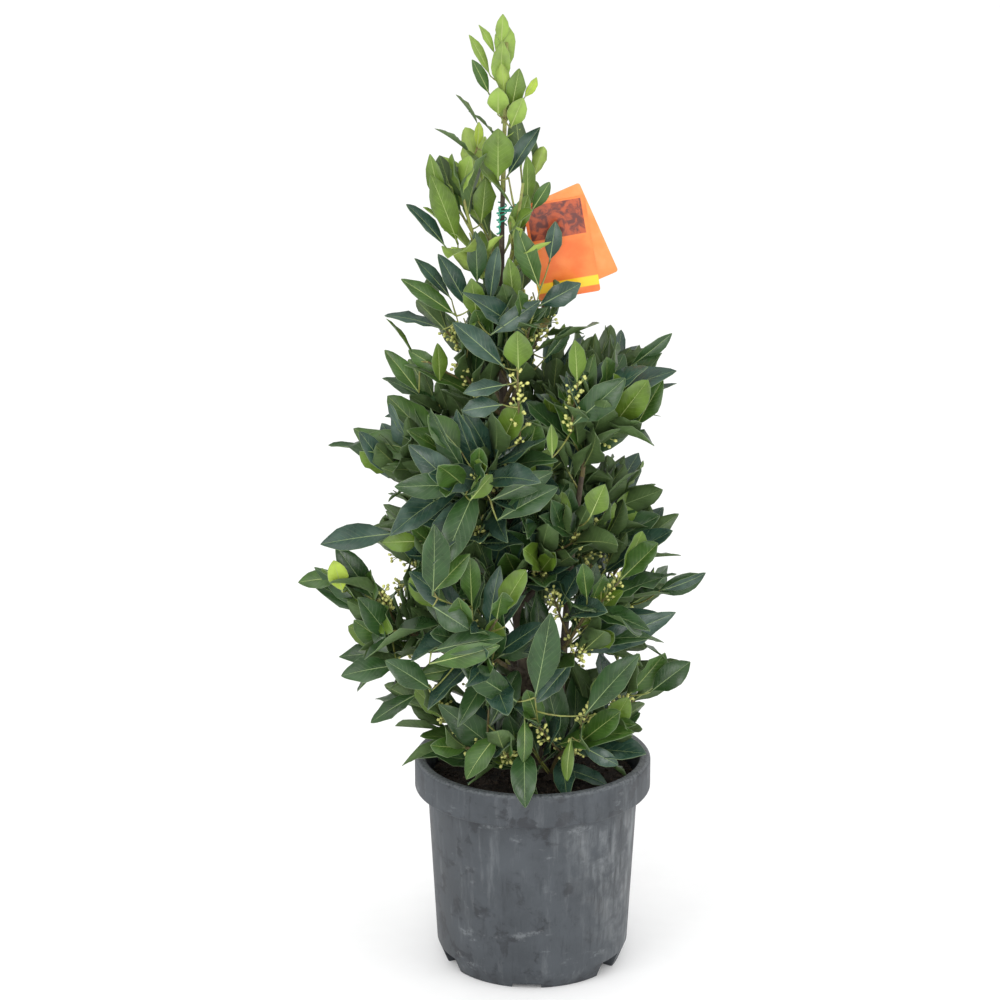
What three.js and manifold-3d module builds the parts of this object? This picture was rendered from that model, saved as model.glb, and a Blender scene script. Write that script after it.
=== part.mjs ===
// Potted bay pyramid: a young bay tree grown as a loose cone in a round nursery pot.
// Units are millimetres, +Z is up and the origin is the middle of the pot's underside.
// The front faces -Y. Azimuths are degrees from +X (right), turning towards +Y (back).

import * as THREE from "three";
import { mergeVertices } from "three/addons/utils/BufferGeometryUtils.js";
import Module from "manifold-3d";

const wasm = await Module();
wasm.setup();

// Clearance between neighbouring pieces
const GAP = 0.3;

// Pot: rolled rim, collar, tapering body, and a foot ring with arches that drain it
const POT = {
  height: 238,
  rimRadius: 130,
  rimEdge: 3,
  lipWidth: 12,
  collarHeight: 37,
  collarEdge: 2,
  bodyTopRadius: 116,
  bodyFootRadius: 106,
  wall: 3,
  footRadius: 97,
  footRingWidth: 11,
  chamferHeight: 22,
  padRadius: 60,
  channelHeight: 6,
  channelSlope: 3,
  arches: 6,
  archTurn: -94,
  archWidth: 32,
  frontArchHeight: 5,
  archHeight: 18,
  archDepth: 30,
  drainRadius: 7,
  drainDepth: 12,
  drainSides: 8,
  facets: 32,
};

// Compost: flat round the stems, then falling a little towards the wall
const SOIL = { top: 214, flatRadius: 48, edgeDrop: 7 };

// Trunk: it leans to the left as it rises
const TRUNK = {
  foot: [6, 4],
  bend: [-42, 8],
  tip: [-33, 0],
  tipHeight: 868,
  footRadius: 8,
  tipRadius: 2.4,
  flare: 4.5,
  flareHeight: 14,
  sides: 8,
  steps: 11,
};

// Limbs other than the trunk
const LIMB = {
  sides: 5,
  steps: 3,
  stemRadius: 4.6,
  stemFlare: 1.8,
  boughRadius: 3.6,
  tipRadius: 2.6,
  boughSpring: 0.55,
  boughLift: 0.36,
  stemRing: 25,
  stemSpring: 0.2,
  stemLift: 0.62,
};

// Tiers of limbs from the soil to the neck. Each limb springs from the trunk at the height
// "spring", or from the soil at 0, and ends "reach" from the trunk at "height". Its last stretch,
// "shoot" long, is the main shoot of a mass; at 0 the whole limb is. "leaf" scales its leaves,
// "swell" reaches further out on the left, and "tilt" lifts the right and lowers the left.
const TIERS = [
  {
    name: "skirt", count: 5, turn: 229, spring: 0, height: 286,
    reach: 113, shoot: 96, leaf: 1, swell: 0, tilt: 8,
  },
  {
    name: "low", count: 6, turn: 190, spring: 316, height: 438,
    reach: 139, shoot: 126, leaf: 1, swell: 0.11, tilt: 19,
  },
  {
    name: "middle", count: 5, turn: 236, spring: 406, height: 511,
    reach: 83, shoot: 94, leaf: 1, swell: -0.07, tilt: -9,
  },
  {
    name: "upper", count: 5, turn: 184, spring: 505, height: 591,
    reach: 92, shoot: 72, leaf: 1, swell: -0.19, tilt: 33,
  },
  {
    name: "high", count: 4, turn: 212, spring: 622, height: 712,
    reach: 59, shoot: 0, leaf: 0.92, swell: -0.02, tilt: 34,
  },
  {
    name: "neck", count: 4, turn: 210, spring: 740, height: 871,
    reach: 42, shoot: 0, leaf: 0.8, swell: 0.13, tilt: 9,
  },
];

// Upper limbs that rise from the soil as tall side stems
const TALL_STEMS = ["upper_3", "upper_5"];

// Crown: how much limbs of a tier differ
const CROWN = { heightSpread: 14, reachSpread: 0.07, springStep: 14 };

// Leading shoot above the trunk's tip
const LEADER = { length: 158, leaves: 15, leaf: 0.6 };

// Shoots: the main shoot of a mass, and the side twigs that branch from it
const SHOOT = {
  sides: 3,
  steps: 2,
  footRadius: 3.4,
  tipRadius: 2.2,
  leaves: 16,
  bareFoot: 0.12,
  trunkBareFoot: 0.28,
  middle: 0.8,
};
const TWIG = {
  count: 3,
  leaves: 10,
  first: 0.25,
  last: 0.72,
  length: 58,
  lengthSpread: 0.22,
  angle: 48,
  lift: 0.36,
  bareFoot: 0.35,
  footRadius: 1.3,
  tipRadius: 1.1,
};

// Leaves: blades bent along the rib, steep and short at a shoot's end, wide and long below
const LEAF = {
  length: 112,
  tipLength: 80,
  lengthSpread: 0.13,
  widthShare: 0.46,
  widestAt: 0.46,
  fold: 0.2,
  angle: 62,
  tipAngle: 18,
  angleSpread: 9,
  turnSpread: 14,
  lift: 0.2,
  faceUp: 0.6,
  lastSeat: 0.96,
  trims: [1, 0.86, 0.74, 0.62],
  seed: 1000,
  rootShare: 0.25,
  beadShare: 0.125,
};

// Flower buds sit in knots in the axils of some shoots
const BUD = { radius: 4, height: 13, place: 0.62 };

// Room kept round limbs, cards and pot, and between the masses' spaces
const ROOM = { limb: 0.8, pot: 2, mouth: 4, space: 0.25, beadStep: 4 };

// Plant label: two bare cards on one wire tie round the trunk
const LABEL = {
  height: 848,
  width: 66,
  length: 104,
  thickness: 0.6,
  cornerRadius: 3,
  holeInset: 6,
  holeRadius: 1.3,
  frontTilt: 10,
  backTilt: 24,
  tieReach: 28,
  tieRadius: 0.7,
  tieSides: 5,
  tieSteps: 12,
};

// Colours and finishes
const LOOKS = {
  pot: { color: 0x5f6467, roughness: 0.6, metalness: 0 },
  soil: { color: 0x2b2320, roughness: 0.95, metalness: 0 },
  bark: { color: 0x54483a, roughness: 0.85, metalness: 0 },
  foliage: { color: 0x3d5c38, roughness: 0.45, metalness: 0 },
  youngFoliage: { color: 0x6d9440, roughness: 0.45, metalness: 0 },
  card: { color: 0xf07a1e, roughness: 0.4, metalness: 0 },
  tie: { color: 0x2f8f6a, roughness: 0.5, metalness: 0 },
};

const UP = new THREE.Vector3(0, 0, 1);
const RIGHT = new THREE.Vector3(1, 0, 0);
const FRONT = new THREE.Vector3(0, -1, 0);
const UPRIGHT = 0.9;
const GOLDEN_ANGLE = Math.PI * (3 - Math.sqrt(5));
const radians = THREE.MathUtils.degToRad;
const blend = THREE.MathUtils.lerp;

// Repeatable random numbers, one stream for each seed
const DICE = { scatter: 2654435761, factor: 1664525, step: 1013904223, range: 2 ** 32 };

function dice(seed) {
  let state = Math.imul(seed + 1, DICE.scatter) >>> 0;
  const roll = () => {
    state = (Math.imul(state, DICE.factor) + DICE.step) >>> 0;
    return state / DICE.range;
  };
  return {
    between: (low, high) => low + (high - low) * roll(),
    about: (middle, spread) => middle + spread * (2 * roll() - 1),
  };
}

// Closed solid from a geometry whose shared corners are merged
function solidOf(geometry) {
  geometry.deleteAttribute("normal");
  geometry.deleteAttribute("uv");
  const merged = mergeVertices(geometry);
  const vertProperties = Float32Array.from(merged.attributes.position.array);
  const triVerts = Uint32Array.from(merged.index.array);
  return new wasm.Manifold(new wasm.Mesh({ numProp: 3, vertProperties, triVerts }));
}

// One body from solids that are joined: sealed hollows are filled and loose scraps dropped
function fuse(solids) {
  const bodies = wasm.Manifold.union(solids).decompose();
  return bodies.reduce((largest, body) => (body.volume() > largest.volume() ? body : largest));
}

// Named mesh from a solid
function piece(name, solid, look) {
  const { vertProperties, triVerts } = solid.getMesh();
  const geometry = new THREE.BufferGeometry();
  geometry.setAttribute("position", new THREE.BufferAttribute(vertProperties, 3));
  geometry.setIndex(new THREE.BufferAttribute(triVerts, 1));
  geometry.computeVertexNormals();
  const mesh = new THREE.Mesh(geometry, new THREE.MeshStandardMaterial(look));
  mesh.name = name;
  return mesh;
}

// Solid turned from a profile of [radius, height] points
function turned(profile) {
  const points = profile.map(([radius, height]) => new THREE.Vector2(radius, height));
  return solidOf(new THREE.LatheGeometry(points, POT.facets).rotateX(Math.PI / 2));
}

// A level direction
function compass(azimuth) {
  return new THREE.Vector3(Math.cos(azimuth), Math.sin(azimuth), 0);
}

// A vector at right angles to a direction: level, unless the direction is nearly upright
function sideways(along) {
  const reference = Math.abs(along.z) > UPRIGHT ? RIGHT : UP;
  return new THREE.Vector3().crossVectors(reference, along).normalize();
}

// Rings along a path at even shares of a stretch of it, with radii that change evenly
function ringsAlong(path, from, to, steps, footRadius, tipRadius) {
  return Array.from({ length: steps + 1 }, (_, i) => {
    const share = blend(from, to, i / steps);
    const radius = blend(footRadius, tipRadius, i / steps);
    return { centre: path.getPoint(share), along: path.getTangent(share), radius };
  });
}

// Limb, stem or twig: a cylinder bent through its rings
function limbSolid(rings, sides) {
  const steps = rings.length - 1;
  const geometry = new THREE.CylinderGeometry(1, 1, 1, sides, steps);
  let across = sideways(rings[0].along);
  const frames = rings.map(({ along }) => {
    across = across.clone().projectOnPlane(along).normalize();
    return { across, out: across.clone().cross(along) };
  });
  const corners = geometry.attributes.position;
  for (let i = 0; i < corners.count; i += 1) {
    const ring = Math.round((corners.getY(i) + 0.5) * steps);
    const corner = rings[ring].centre.clone();
    corner.addScaledVector(frames[ring].across, corners.getX(i) * rings[ring].radius);
    corner.addScaledVector(frames[ring].out, corners.getZ(i) * rings[ring].radius);
    corners.setXYZ(i, ...corner);
  }
  return solidOf(geometry);
}

// Pot
function makePot() {
  const collarFoot = POT.height - POT.collarHeight;
  const mouth = POT.rimRadius - POT.lipWidth;
  const channelIn = POT.padRadius + POT.channelSlope;
  const ringIn = POT.footRadius - POT.footRingWidth;
  const channelTop = POT.channelHeight + POT.wall;
  const solid = turned([
    [0, 0],
    [POT.padRadius, 0],
    [channelIn, POT.channelHeight],
    [ringIn - POT.channelSlope, POT.channelHeight],
    [ringIn, 0],
    [POT.footRadius, 0],
    [POT.bodyFootRadius, POT.chamferHeight],
    [POT.bodyTopRadius, collarFoot],
    [POT.rimRadius - POT.collarEdge, collarFoot],
    [POT.rimRadius, collarFoot + POT.collarEdge],
    [POT.rimRadius, POT.height - POT.rimEdge],
    [POT.rimRadius - POT.rimEdge, POT.height],
    [mouth + POT.rimEdge, POT.height],
    [mouth, POT.height - POT.rimEdge],
    [POT.bodyTopRadius - POT.wall, collarFoot],
    [POT.bodyFootRadius - POT.wall, POT.chamferHeight + POT.wall],
    [POT.footRadius, channelTop],
    [0, channelTop],
  ]);
  const cuts = [];
  for (let i = 0; i < POT.arches; i += 1) {
    const azimuth = radians(POT.archTurn + (360 * i) / POT.arches);
    const height = i === 0 ? POT.frontArchHeight : POT.archHeight;
    const arch = new THREE.BoxGeometry(POT.archDepth, POT.archWidth, 2 * height);
    arch.translate(POT.bodyFootRadius - POT.archDepth / 2 + POT.wall, 0, 0).rotateZ(azimuth);
    const { drainRadius, drainDepth, drainSides } = POT;
    const drain = new THREE.CylinderGeometry(drainRadius, drainRadius, drainDepth, drainSides);
    drain.rotateX(Math.PI / 2).translate((channelIn + ringIn) / 2, 0, channelTop).rotateZ(azimuth);
    cuts.push(solidOf(arch), solidOf(drain));
  }
  return solid.subtract(wasm.Manifold.union(cuts));
}

// Compost, clear of the pot's inside
function makeSoil() {
  const collarFoot = POT.height - POT.collarHeight;
  const wallAt = (height) => {
    const share = (height - POT.chamferHeight) / (collarFoot - POT.chamferHeight);
    return blend(POT.bodyFootRadius, POT.bodyTopRadius, share) - POT.wall - GAP;
  };
  const foot = POT.chamferHeight + POT.wall;
  const edge = SOIL.top - SOIL.edgeDrop;
  const floor = POT.channelHeight + POT.wall + GAP;
  return turned([
    [0, floor],
    [POT.footRadius - GAP, floor],
    [wallAt(foot) - GAP, foot],
    [wallAt(collarFoot), collarFoot],
    [wallAt(edge), edge],
    [SOIL.flatRadius, SOIL.top],
    [0, SOIL.top],
  ]);
}

// Trunk line from the soil to the tip, with heights that rise evenly along it
const GROUND = SOIL.top + GAP;
const trunkLine = new THREE.QuadraticBezierCurve3(
  new THREE.Vector3(...TRUNK.foot, GROUND),
  new THREE.Vector3(...TRUNK.bend, (GROUND + TRUNK.tipHeight) / 2),
  new THREE.Vector3(...TRUNK.tip, TRUNK.tipHeight),
);
const trunkShare = (height) => (height - GROUND) / (TRUNK.tipHeight - GROUND);
const trunkAt = (height) => trunkLine.getPoint(trunkShare(height));

function trunkRadius(share) {
  const flare = TRUNK.flare * Math.exp((-share * (TRUNK.tipHeight - GROUND)) / TRUNK.flareHeight);
  return blend(TRUNK.footRadius, TRUNK.tipRadius, share) + flare;
}

// Level rings of the trunk, close together in the root flare; "swell" makes them larger
function trunkRings(swell) {
  return Array.from({ length: TRUNK.steps + 1 }, (_, i) => {
    const share = (i / TRUNK.steps) ** 2;
    return { centre: trunkLine.getPoint(share), along: UP, radius: trunkRadius(share) + swell };
  });
}

// End of a limb on the crown's outline
function limbEnd(tier, azimuth, chance) {
  const aside = Math.cos(azimuth);
  const height = chance.about(tier.height, CROWN.heightSpread) + tier.tilt * aside;
  const reach = tier.reach * chance.about(1, CROWN.reachSpread) * (1 - tier.swell * aside);
  return trunkAt(height).addScaledVector(compass(azimuth), reach);
}

// Line of a limb from its foot to the end of its shoot. Boughs spring from the trunk's axis,
// and stems from a ring on the soil.
function limbLine(azimuth, end, spring, fromSoil) {
  const outward = compass(azimuth);
  const foot = fromSoil ? trunkAt(GROUND).addScaledVector(outward, LIMB.stemRing) : trunkAt(spring);
  const bend = foot.clone().lerp(end, fromSoil ? LIMB.stemSpring : LIMB.boughSpring);
  bend.z = blend(foot.z, end.z, fromSoil ? LIMB.stemLift : LIMB.boughLift);
  return new THREE.QuadraticBezierCurve3(foot, bend, end);
}

// Plan of every limb and shoot, tier by tier, and of the leading shoot: "split" is the share of
// the line that is bare limb
function planLimbs() {
  const plans = [];
  TIERS.forEach((tier) => {
    for (let i = 0; i < tier.count; i += 1) {
      const seed = plans.length;
      const chance = dice(seed);
      const azimuth = radians(tier.turn + (360 * i) / tier.count);
      const end = limbEnd(tier, azimuth, chance);
      const place = `${tier.name}_${i + 1}`;
      const fromSoil = tier.spring === 0 || TALL_STEMS.includes(place);
      const line = limbLine(azimuth, end, tier.spring + (i % 2) * CROWN.springStep, fromSoil);
      const split = tier.shoot ? 1 - tier.shoot / line.getLength() : 0;
      const onTrunk = split === 0;
      const { leaf } = tier;
      plans.push({ place, seed, line, split, fromSoil, onTrunk, leaf, leaves: SHOOT.leaves });
    }
  });
  const foot = trunkAt(TRUNK.tipHeight);
  const tip = foot.clone().addScaledVector(trunkLine.getTangent(1), LEADER.length);
  const leader = { place: "leader", seed: plans.length, leaf: LEADER.leaf, leaves: LEADER.leaves };
  const line = new THREE.LineCurve3(foot, tip);
  plans.push({ ...leader, line, split: 0, fromSoil: false, onTrunk: false });
  return plans;
}

// Rings of a plan's bare limb
function limbRings(plan) {
  const footRadius = plan.fromSoil ? LIMB.stemRadius : LIMB.boughRadius;
  return ringsAlong(plan.line, 0, plan.split, LIMB.steps, footRadius, LIMB.tipRadius);
}

// Bare limb: a stem with a flared foot cut flat on the soil, or a bough seated on the trunk
function makeLimb(plan, trunkSeat) {
  const rings = limbRings(plan);
  if (!plan.fromSoil) return limbSolid(rings, LIMB.sides).subtract(trunkSeat);
  rings[0].radius += LIMB.stemFlare;
  rings[0].along = UP;
  return limbSolid(rings, LIMB.sides);
}

// Main shoot of a plan: it starts a gap beyond its limb
function mainShoot(plan) {
  const from = plan.onTrunk ? 0 : plan.split + GAP / plan.line.getLength();
  const bareFoot = plan.onTrunk ? SHOOT.trunkBareFoot : SHOOT.bareFoot;
  const { line, leaves, leaf } = plan;
  const { steps, footRadius, tipRadius } = SHOOT;
  return { path: line, from, steps, bareFoot, leaves, leaf, footRadius, tipRadius };
}

function shootRings({ path, from, steps, footRadius, tipRadius }) {
  return ringsAlong(path, from, 1, steps, footRadius, tipRadius);
}

// Point and direction at a share of a shoot, on the straight runs between its rings
function onShoot(shoot, share) {
  const rings = shootRings(shoot);
  const run = Math.min(Math.floor(share * shoot.steps), shoot.steps - 1);
  const root = rings[run].centre.clone().lerp(rings[run + 1].centre, share * shoot.steps - run);
  const along = shoot.path.getTangent(blend(shoot.from, 1, share));
  const across = sideways(along);
  return { root, along, across, out: across.clone().cross(along) };
}

// Direction turned out from a shoot by an angle, at a turn round it
function branchOff({ along, across, out }, angle, turn) {
  const spread = across.clone().multiplyScalar(Math.cos(turn)).addScaledVector(out, Math.sin(turn));
  return along.clone().multiplyScalar(Math.cos(angle)).addScaledVector(spread, Math.sin(angle));
}

// Beads through a limb's rings stand for it when leaves and twigs keep clear of it
function beadsThrough(rings, owner) {
  return rings.slice(1).flatMap((ring, i) => {
    const before = rings[i];
    const count = Math.ceil(ring.centre.distanceTo(before.centre) / ROOM.beadStep);
    return Array.from({ length: count + 1 }, (_, k) => ({
      centre: before.centre.clone().lerp(ring.centre, k / count),
      radius: blend(before.radius, ring.radius, k / count),
      owner,
    }));
  });
}

// Label cards hang from the tie by a hole in one corner, turned about it
const tiePoint = trunkAt(LABEL.height);
const holePoint = tiePoint.clone().addScaledVector(RIGHT, LABEL.tieReach);

function makeCard(tilt, step) {
  const corner = LABEL.cornerRadius;
  const [left, right] = [-LABEL.holeInset, LABEL.width - LABEL.holeInset];
  const [top, bottom] = [LABEL.holeInset, LABEL.holeInset - LABEL.length];
  const shape = new THREE.Shape();
  shape.moveTo(left + corner, top);
  shape.lineTo(right - corner, top);
  shape.quadraticCurveTo(right, top, right, top - corner);
  shape.lineTo(right, bottom + corner);
  shape.quadraticCurveTo(right, bottom, right - corner, bottom);
  shape.lineTo(left + corner, bottom);
  shape.quadraticCurveTo(left, bottom, left, bottom + corner);
  shape.lineTo(left, top - corner);
  shape.quadraticCurveTo(left, top, left + corner, top);
  const settings = { depth: LABEL.thickness, bevelEnabled: false, curveSegments: 1 };
  const card = new THREE.ExtrudeGeometry(shape, settings).translate(0, 0, step);
  card.rotateZ(radians(tilt)).rotateX(Math.PI / 2).translate(...holePoint);
  const { holeRadius, width, tieSteps } = LABEL;
  const hole = new THREE.CylinderGeometry(holeRadius, holeRadius, width, tieSteps);
  return solidOf(card).subtract(solidOf(hole.translate(...holePoint)));
}

// Beads that cover a card
function cardBeads(tilt) {
  const beads = [];
  for (let x = -LABEL.holeInset; x <= LABEL.width; x += ROOM.beadStep) {
    for (let z = LABEL.holeInset; z >= -LABEL.length; z -= ROOM.beadStep) {
      const centre = new THREE.Vector3(x, 0, z).applyAxisAngle(FRONT, radians(tilt)).add(holePoint);
      beads.push({ centre, radius: ROOM.beadStep / 2, owner: null });
    }
  }
  return beads;
}

// Wire tie: a ring round the trunk, stretched to pass through the cards' holes
function makeTie() {
  const loop = trunkRadius(trunkShare(LABEL.height)) + GAP + LABEL.tieRadius;
  const ring = new THREE.TorusGeometry(loop, LABEL.tieRadius, LABEL.tieSides, LABEL.tieSteps);
  const corners = ring.attributes.position;
  for (let i = 0; i < corners.count; i += 1) {
    if (corners.getX(i) > GAP) corners.setX(i, corners.getX(i) + LABEL.tieReach - loop);
  }
  return solidOf(ring.translate(...tiePoint));
}

// The space of a mass is what lies nearer to its middle than to any other mass's middle
function inSpace(point, mass, masses) {
  return masses.every((other) => {
    if (other === mass) return true;
    const towards = other.middle.clone().sub(mass.middle);
    const halfway = other.middle.clone().lerp(mass.middle, 0.5);
    return point.clone().sub(halfway).dot(towards.normalize()) < -ROOM.space;
  });
}

// The pot's rim, wall and compost, with room round them
function inPot(point) {
  const radius = Math.hypot(point.x, point.y);
  const mouth = POT.rimRadius - POT.lipWidth - ROOM.mouth;
  const low = radius < POT.rimRadius + ROOM.pot && point.z < POT.height + ROOM.pot;
  return low && (radius > mouth || point.z < SOIL.top + ROOM.pot);
}

// Half of a blade's width at a share of its length: the outline is a lozenge
function halfWidth(leaf, share) {
  const widest = (leaf.length * LEAF.widthShare) / 2;
  return widest * Math.min(share / LEAF.widestAt, (1 - share) / (1 - LEAF.widestAt));
}

// Spot on a blade: forward along it, aside from its rib and above it
function onBlade(leaf, forward, aside, above) {
  const spot = leaf.root.clone().addScaledVector(leaf.along, forward);
  return spot.addScaledVector(leaf.left, aside).addScaledVector(leaf.normal, above);
}

// Corners of a blade that falls away to both sides of its rib, with its root sunk in the shoot
function leafCorners(leaf) {
  const widest = LEAF.widestAt * leaf.length;
  const half = halfWidth(leaf, LEAF.widestAt);
  return {
    root: leaf.root,
    tip: onBlade(leaf, leaf.length, 0, 0),
    right: onBlade(leaf, widest, -half, -LEAF.fold * half),
    left: onBlade(leaf, widest, half, -LEAF.fold * half),
  };
}

// Leaf: a tetrahedron whose corners are moved to the blade's corners
function leafSolid(leaf) {
  const { root, tip, right, left } = leafCorners(leaf);
  const geometry = new THREE.TetrahedronGeometry(1);
  const corners = geometry.attributes.position;
  for (let i = 0; i < corners.count; i += 1) {
    const [high, low] = corners.getX(i) * corners.getY(i) > 0 ? [root, tip] : [left, right];
    corners.setXYZ(i, ...(corners.getX(i) > 0 ? high : low));
  }
  return solidOf(geometry);
}

// A leaf meets a bead that comes near its blade
function leafMeets(leaf, bead) {
  const offset = bead.centre.clone().sub(leaf.root);
  const reach = bead.radius + ROOM.limb;
  const forward = offset.dot(leaf.along);
  if (forward < reach || forward > leaf.length + reach) return false;
  const edge = halfWidth(leaf, THREE.MathUtils.clamp(forward / leaf.length, 0, 1));
  const aside = Math.abs(offset.dot(leaf.left));
  if (aside > edge + reach) return false;
  const above = offset.dot(leaf.normal);
  return above > -LEAF.fold * edge - reach && above < reach - LEAF.fold * Math.min(aside, edge);
}

// Beads along a blade's rib and both edges, past its root
function bladeBeads(leaf) {
  const beads = [];
  for (let share = LEAF.rootShare; share <= 1; share += LEAF.beadShare) {
    const edge = halfWidth(leaf, share);
    [-edge, 0, edge].forEach((aside) => {
      const centre = onBlade(leaf, share * leaf.length, aside, -LEAF.fold * Math.abs(aside));
      beads.push({ centre, radius: 0 });
    });
  }
  return beads;
}

// Two leaves cross where the beads of one meet the other's blade
function leavesCross(leaf, other) {
  return bladeBeads(leaf).some((bead) => leafMeets(other, bead))
    || bladeBeads(other).some((bead) => leafMeets(leaf, bead));
}

// A twig meets a bead that comes near its line
function twigMeets(twig, bead) {
  const line = new THREE.Line3(twig.path.v1, twig.path.v2);
  const nearest = line.closestPointToPoint(bead.centre, true, new THREE.Vector3());
  return nearest.distanceTo(bead.centre) < bead.radius + TWIG.footRadius + ROOM.limb;
}

// Leaves in a spiral along a shoot: long and spread below, short and steep at its end
function growLeaves(shoot, chance) {
  const firstTurn = chance.between(0, 2 * Math.PI);
  return Array.from({ length: shoot.leaves }, (_, i) => {
    const share = i / (shoot.leaves - 1);
    const seat = onShoot(shoot, blend(shoot.bareFoot, LEAF.lastSeat, share));
    const turn = firstTurn + i * GOLDEN_ANGLE + radians(chance.about(0, LEAF.turnSpread));
    const angle = radians(chance.about(blend(LEAF.angle, LEAF.tipAngle, share), LEAF.angleSpread));
    const along = branchOff(seat, angle, turn).addScaledVector(UP, LEAF.lift).normalize();
    const facing = seat.along.clone().addScaledVector(UP, LEAF.faceUp);
    const normal = facing.projectOnPlane(along).normalize();
    const size = shoot.leaf * chance.about(1, LEAF.lengthSpread);
    const length = size * blend(LEAF.length, LEAF.tipLength, share);
    return { shoot, root: seat.root, along, normal, left: normal.clone().cross(along), length };
  });
}

// Straight side twigs round a main shoot
function growTwigs(shoot, chance) {
  const firstTurn = chance.between(0, 2 * Math.PI);
  return Array.from({ length: TWIG.count }, (_, i) => {
    const share = i / (TWIG.count - 1);
    const seat = onShoot(shoot, blend(Math.max(TWIG.first, shoot.bareFoot), TWIG.last, share));
    const along = branchOff(seat, radians(TWIG.angle), firstTurn + i * GOLDEN_ANGLE);
    along.addScaledVector(UP, TWIG.lift).normalize();
    const length = shoot.leaf * TWIG.length * chance.about(1, TWIG.lengthSpread);
    const path = new THREE.LineCurve3(seat.root, seat.root.clone().addScaledVector(along, length));
    const { bareFoot, leaves, footRadius, tipRadius } = TWIG;
    return { path, from: 0, steps: 1, bareFoot, leaves, leaf: shoot.leaf, footRadius, tipRadius };
  });
}

// Knot of buds that stands on a main shoot, with its lower corner sunk in it
function budKnot(shoot) {
  const knot = new THREE.OctahedronGeometry(1).scale(BUD.radius, BUD.radius, BUD.height / 2);
  const { root } = onShoot(shoot, BUD.place);
  return solidOf(knot.translate(root.x, root.y, root.z + BUD.height / 2));
}

// Mass of foliage on one main shoot. Twigs and leaves that leave its space, or meet a limb, the
// label or the pot, are skipped, and so are leaves that cross another leaf or twig. A leaf is
// first tried shorter.
function makeMass(mass, masses, beads, trunkSeat) {
  const chance = dice(LEAF.seed + mass.seed);
  const others = beads.filter((bead) => bead.owner !== mass);
  const inside = (point) => inSpace(point, mass, masses);
  const twigs = growTwigs(mass.shoot, chance).filter(
    (twig) => inside(twig.path.v2) && !inPot(twig.path.v2)
      && !others.some((bead) => twigMeets(twig, bead)),
  );
  const shoots = [mass.shoot, ...twigs];
  others.push(...shoots.flatMap((shoot) => beadsThrough(shootRings(shoot), shoot)));
  const leaves = [];
  const fits = (leaf) =>
    Object.values(leafCorners(leaf)).every(inside)
    && !bladeBeads(leaf).some((bead) => inPot(bead.centre))
    && !others.some((bead) => bead.owner !== leaf.shoot && leafMeets(leaf, bead))
    && !leaves.some((other) => leavesCross(leaf, other));
  shoots.forEach((shoot) => {
    growLeaves(shoot, chance).forEach((leaf) => {
      const sizes = LEAF.trims.map((trim) => ({ ...leaf, length: trim * leaf.length }));
      const fitting = sizes.find(fits);
      if (fitting) leaves.push(fitting);
    });
  });
  const main = limbSolid(shootRings(mass.shoot), SHOOT.sides);
  const stem = mass.onTrunk ? main.subtract(trunkSeat) : main;
  const twigSolids = twigs.map((twig) => limbSolid(shootRings(twig), SHOOT.sides));
  return fuse([stem, ...twigSolids, ...leaves.map(leafSolid), budKnot(mass.shoot)]);
}

// The whole plant in its pot
const pottedBay = new THREE.Group();
pottedBay.name = "potted_bay_pyramid";
const add = (name, solid, look) => pottedBay.add(piece(name, solid, look));

add("pot", makePot(), LOOKS.pot);
add("soil", makeSoil(), LOOKS.soil);
add("trunk", limbSolid(trunkRings(0), TRUNK.sides), LOOKS.bark);

const trunkSeat = limbSolid(trunkRings(GAP), TRUNK.sides);
const plans = planLimbs();
const beads = beadsThrough(trunkRings(0), null);
plans.forEach((plan) => {
  plan.shoot = mainShoot(plan);
  plan.middle = onShoot(plan.shoot, SHOOT.middle).root;
  beads.push(...beadsThrough(shootRings(plan.shoot), plan));
  if (plan.split === 0) return;
  beads.push(...beadsThrough(limbRings(plan), null));
  add(`${plan.fromSoil ? "stem" : "bough"}_${plan.place}`, makeLimb(plan, trunkSeat), LOOKS.bark);
});

add("label_card_front", makeCard(LABEL.frontTilt, GAP / 2), LOOKS.card);
add("label_card_back", makeCard(LABEL.backTilt, -GAP / 2 - LABEL.thickness), LOOKS.card);
add("label_tie", makeTie(), LOOKS.tie);
beads.push(...cardBeads(LABEL.frontTilt), ...cardBeads(LABEL.backTilt));
const tieRing = (centre) => ({ centre, radius: LABEL.holeInset });
beads.push(...beadsThrough([tieRing(tiePoint), tieRing(holePoint)], null));

plans.forEach((plan) => {
  const young = plan.place === "leader" || plan.place.startsWith("neck");
  const look = young ? LOOKS.youngFoliage : LOOKS.foliage;
  add(`foliage_${plan.place}`, makeMass(plan, plans, beads, trunkSeat), look);
});

export default pottedBay;
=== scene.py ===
"""Looks of a potted bay pyramid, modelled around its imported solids."""

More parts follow.
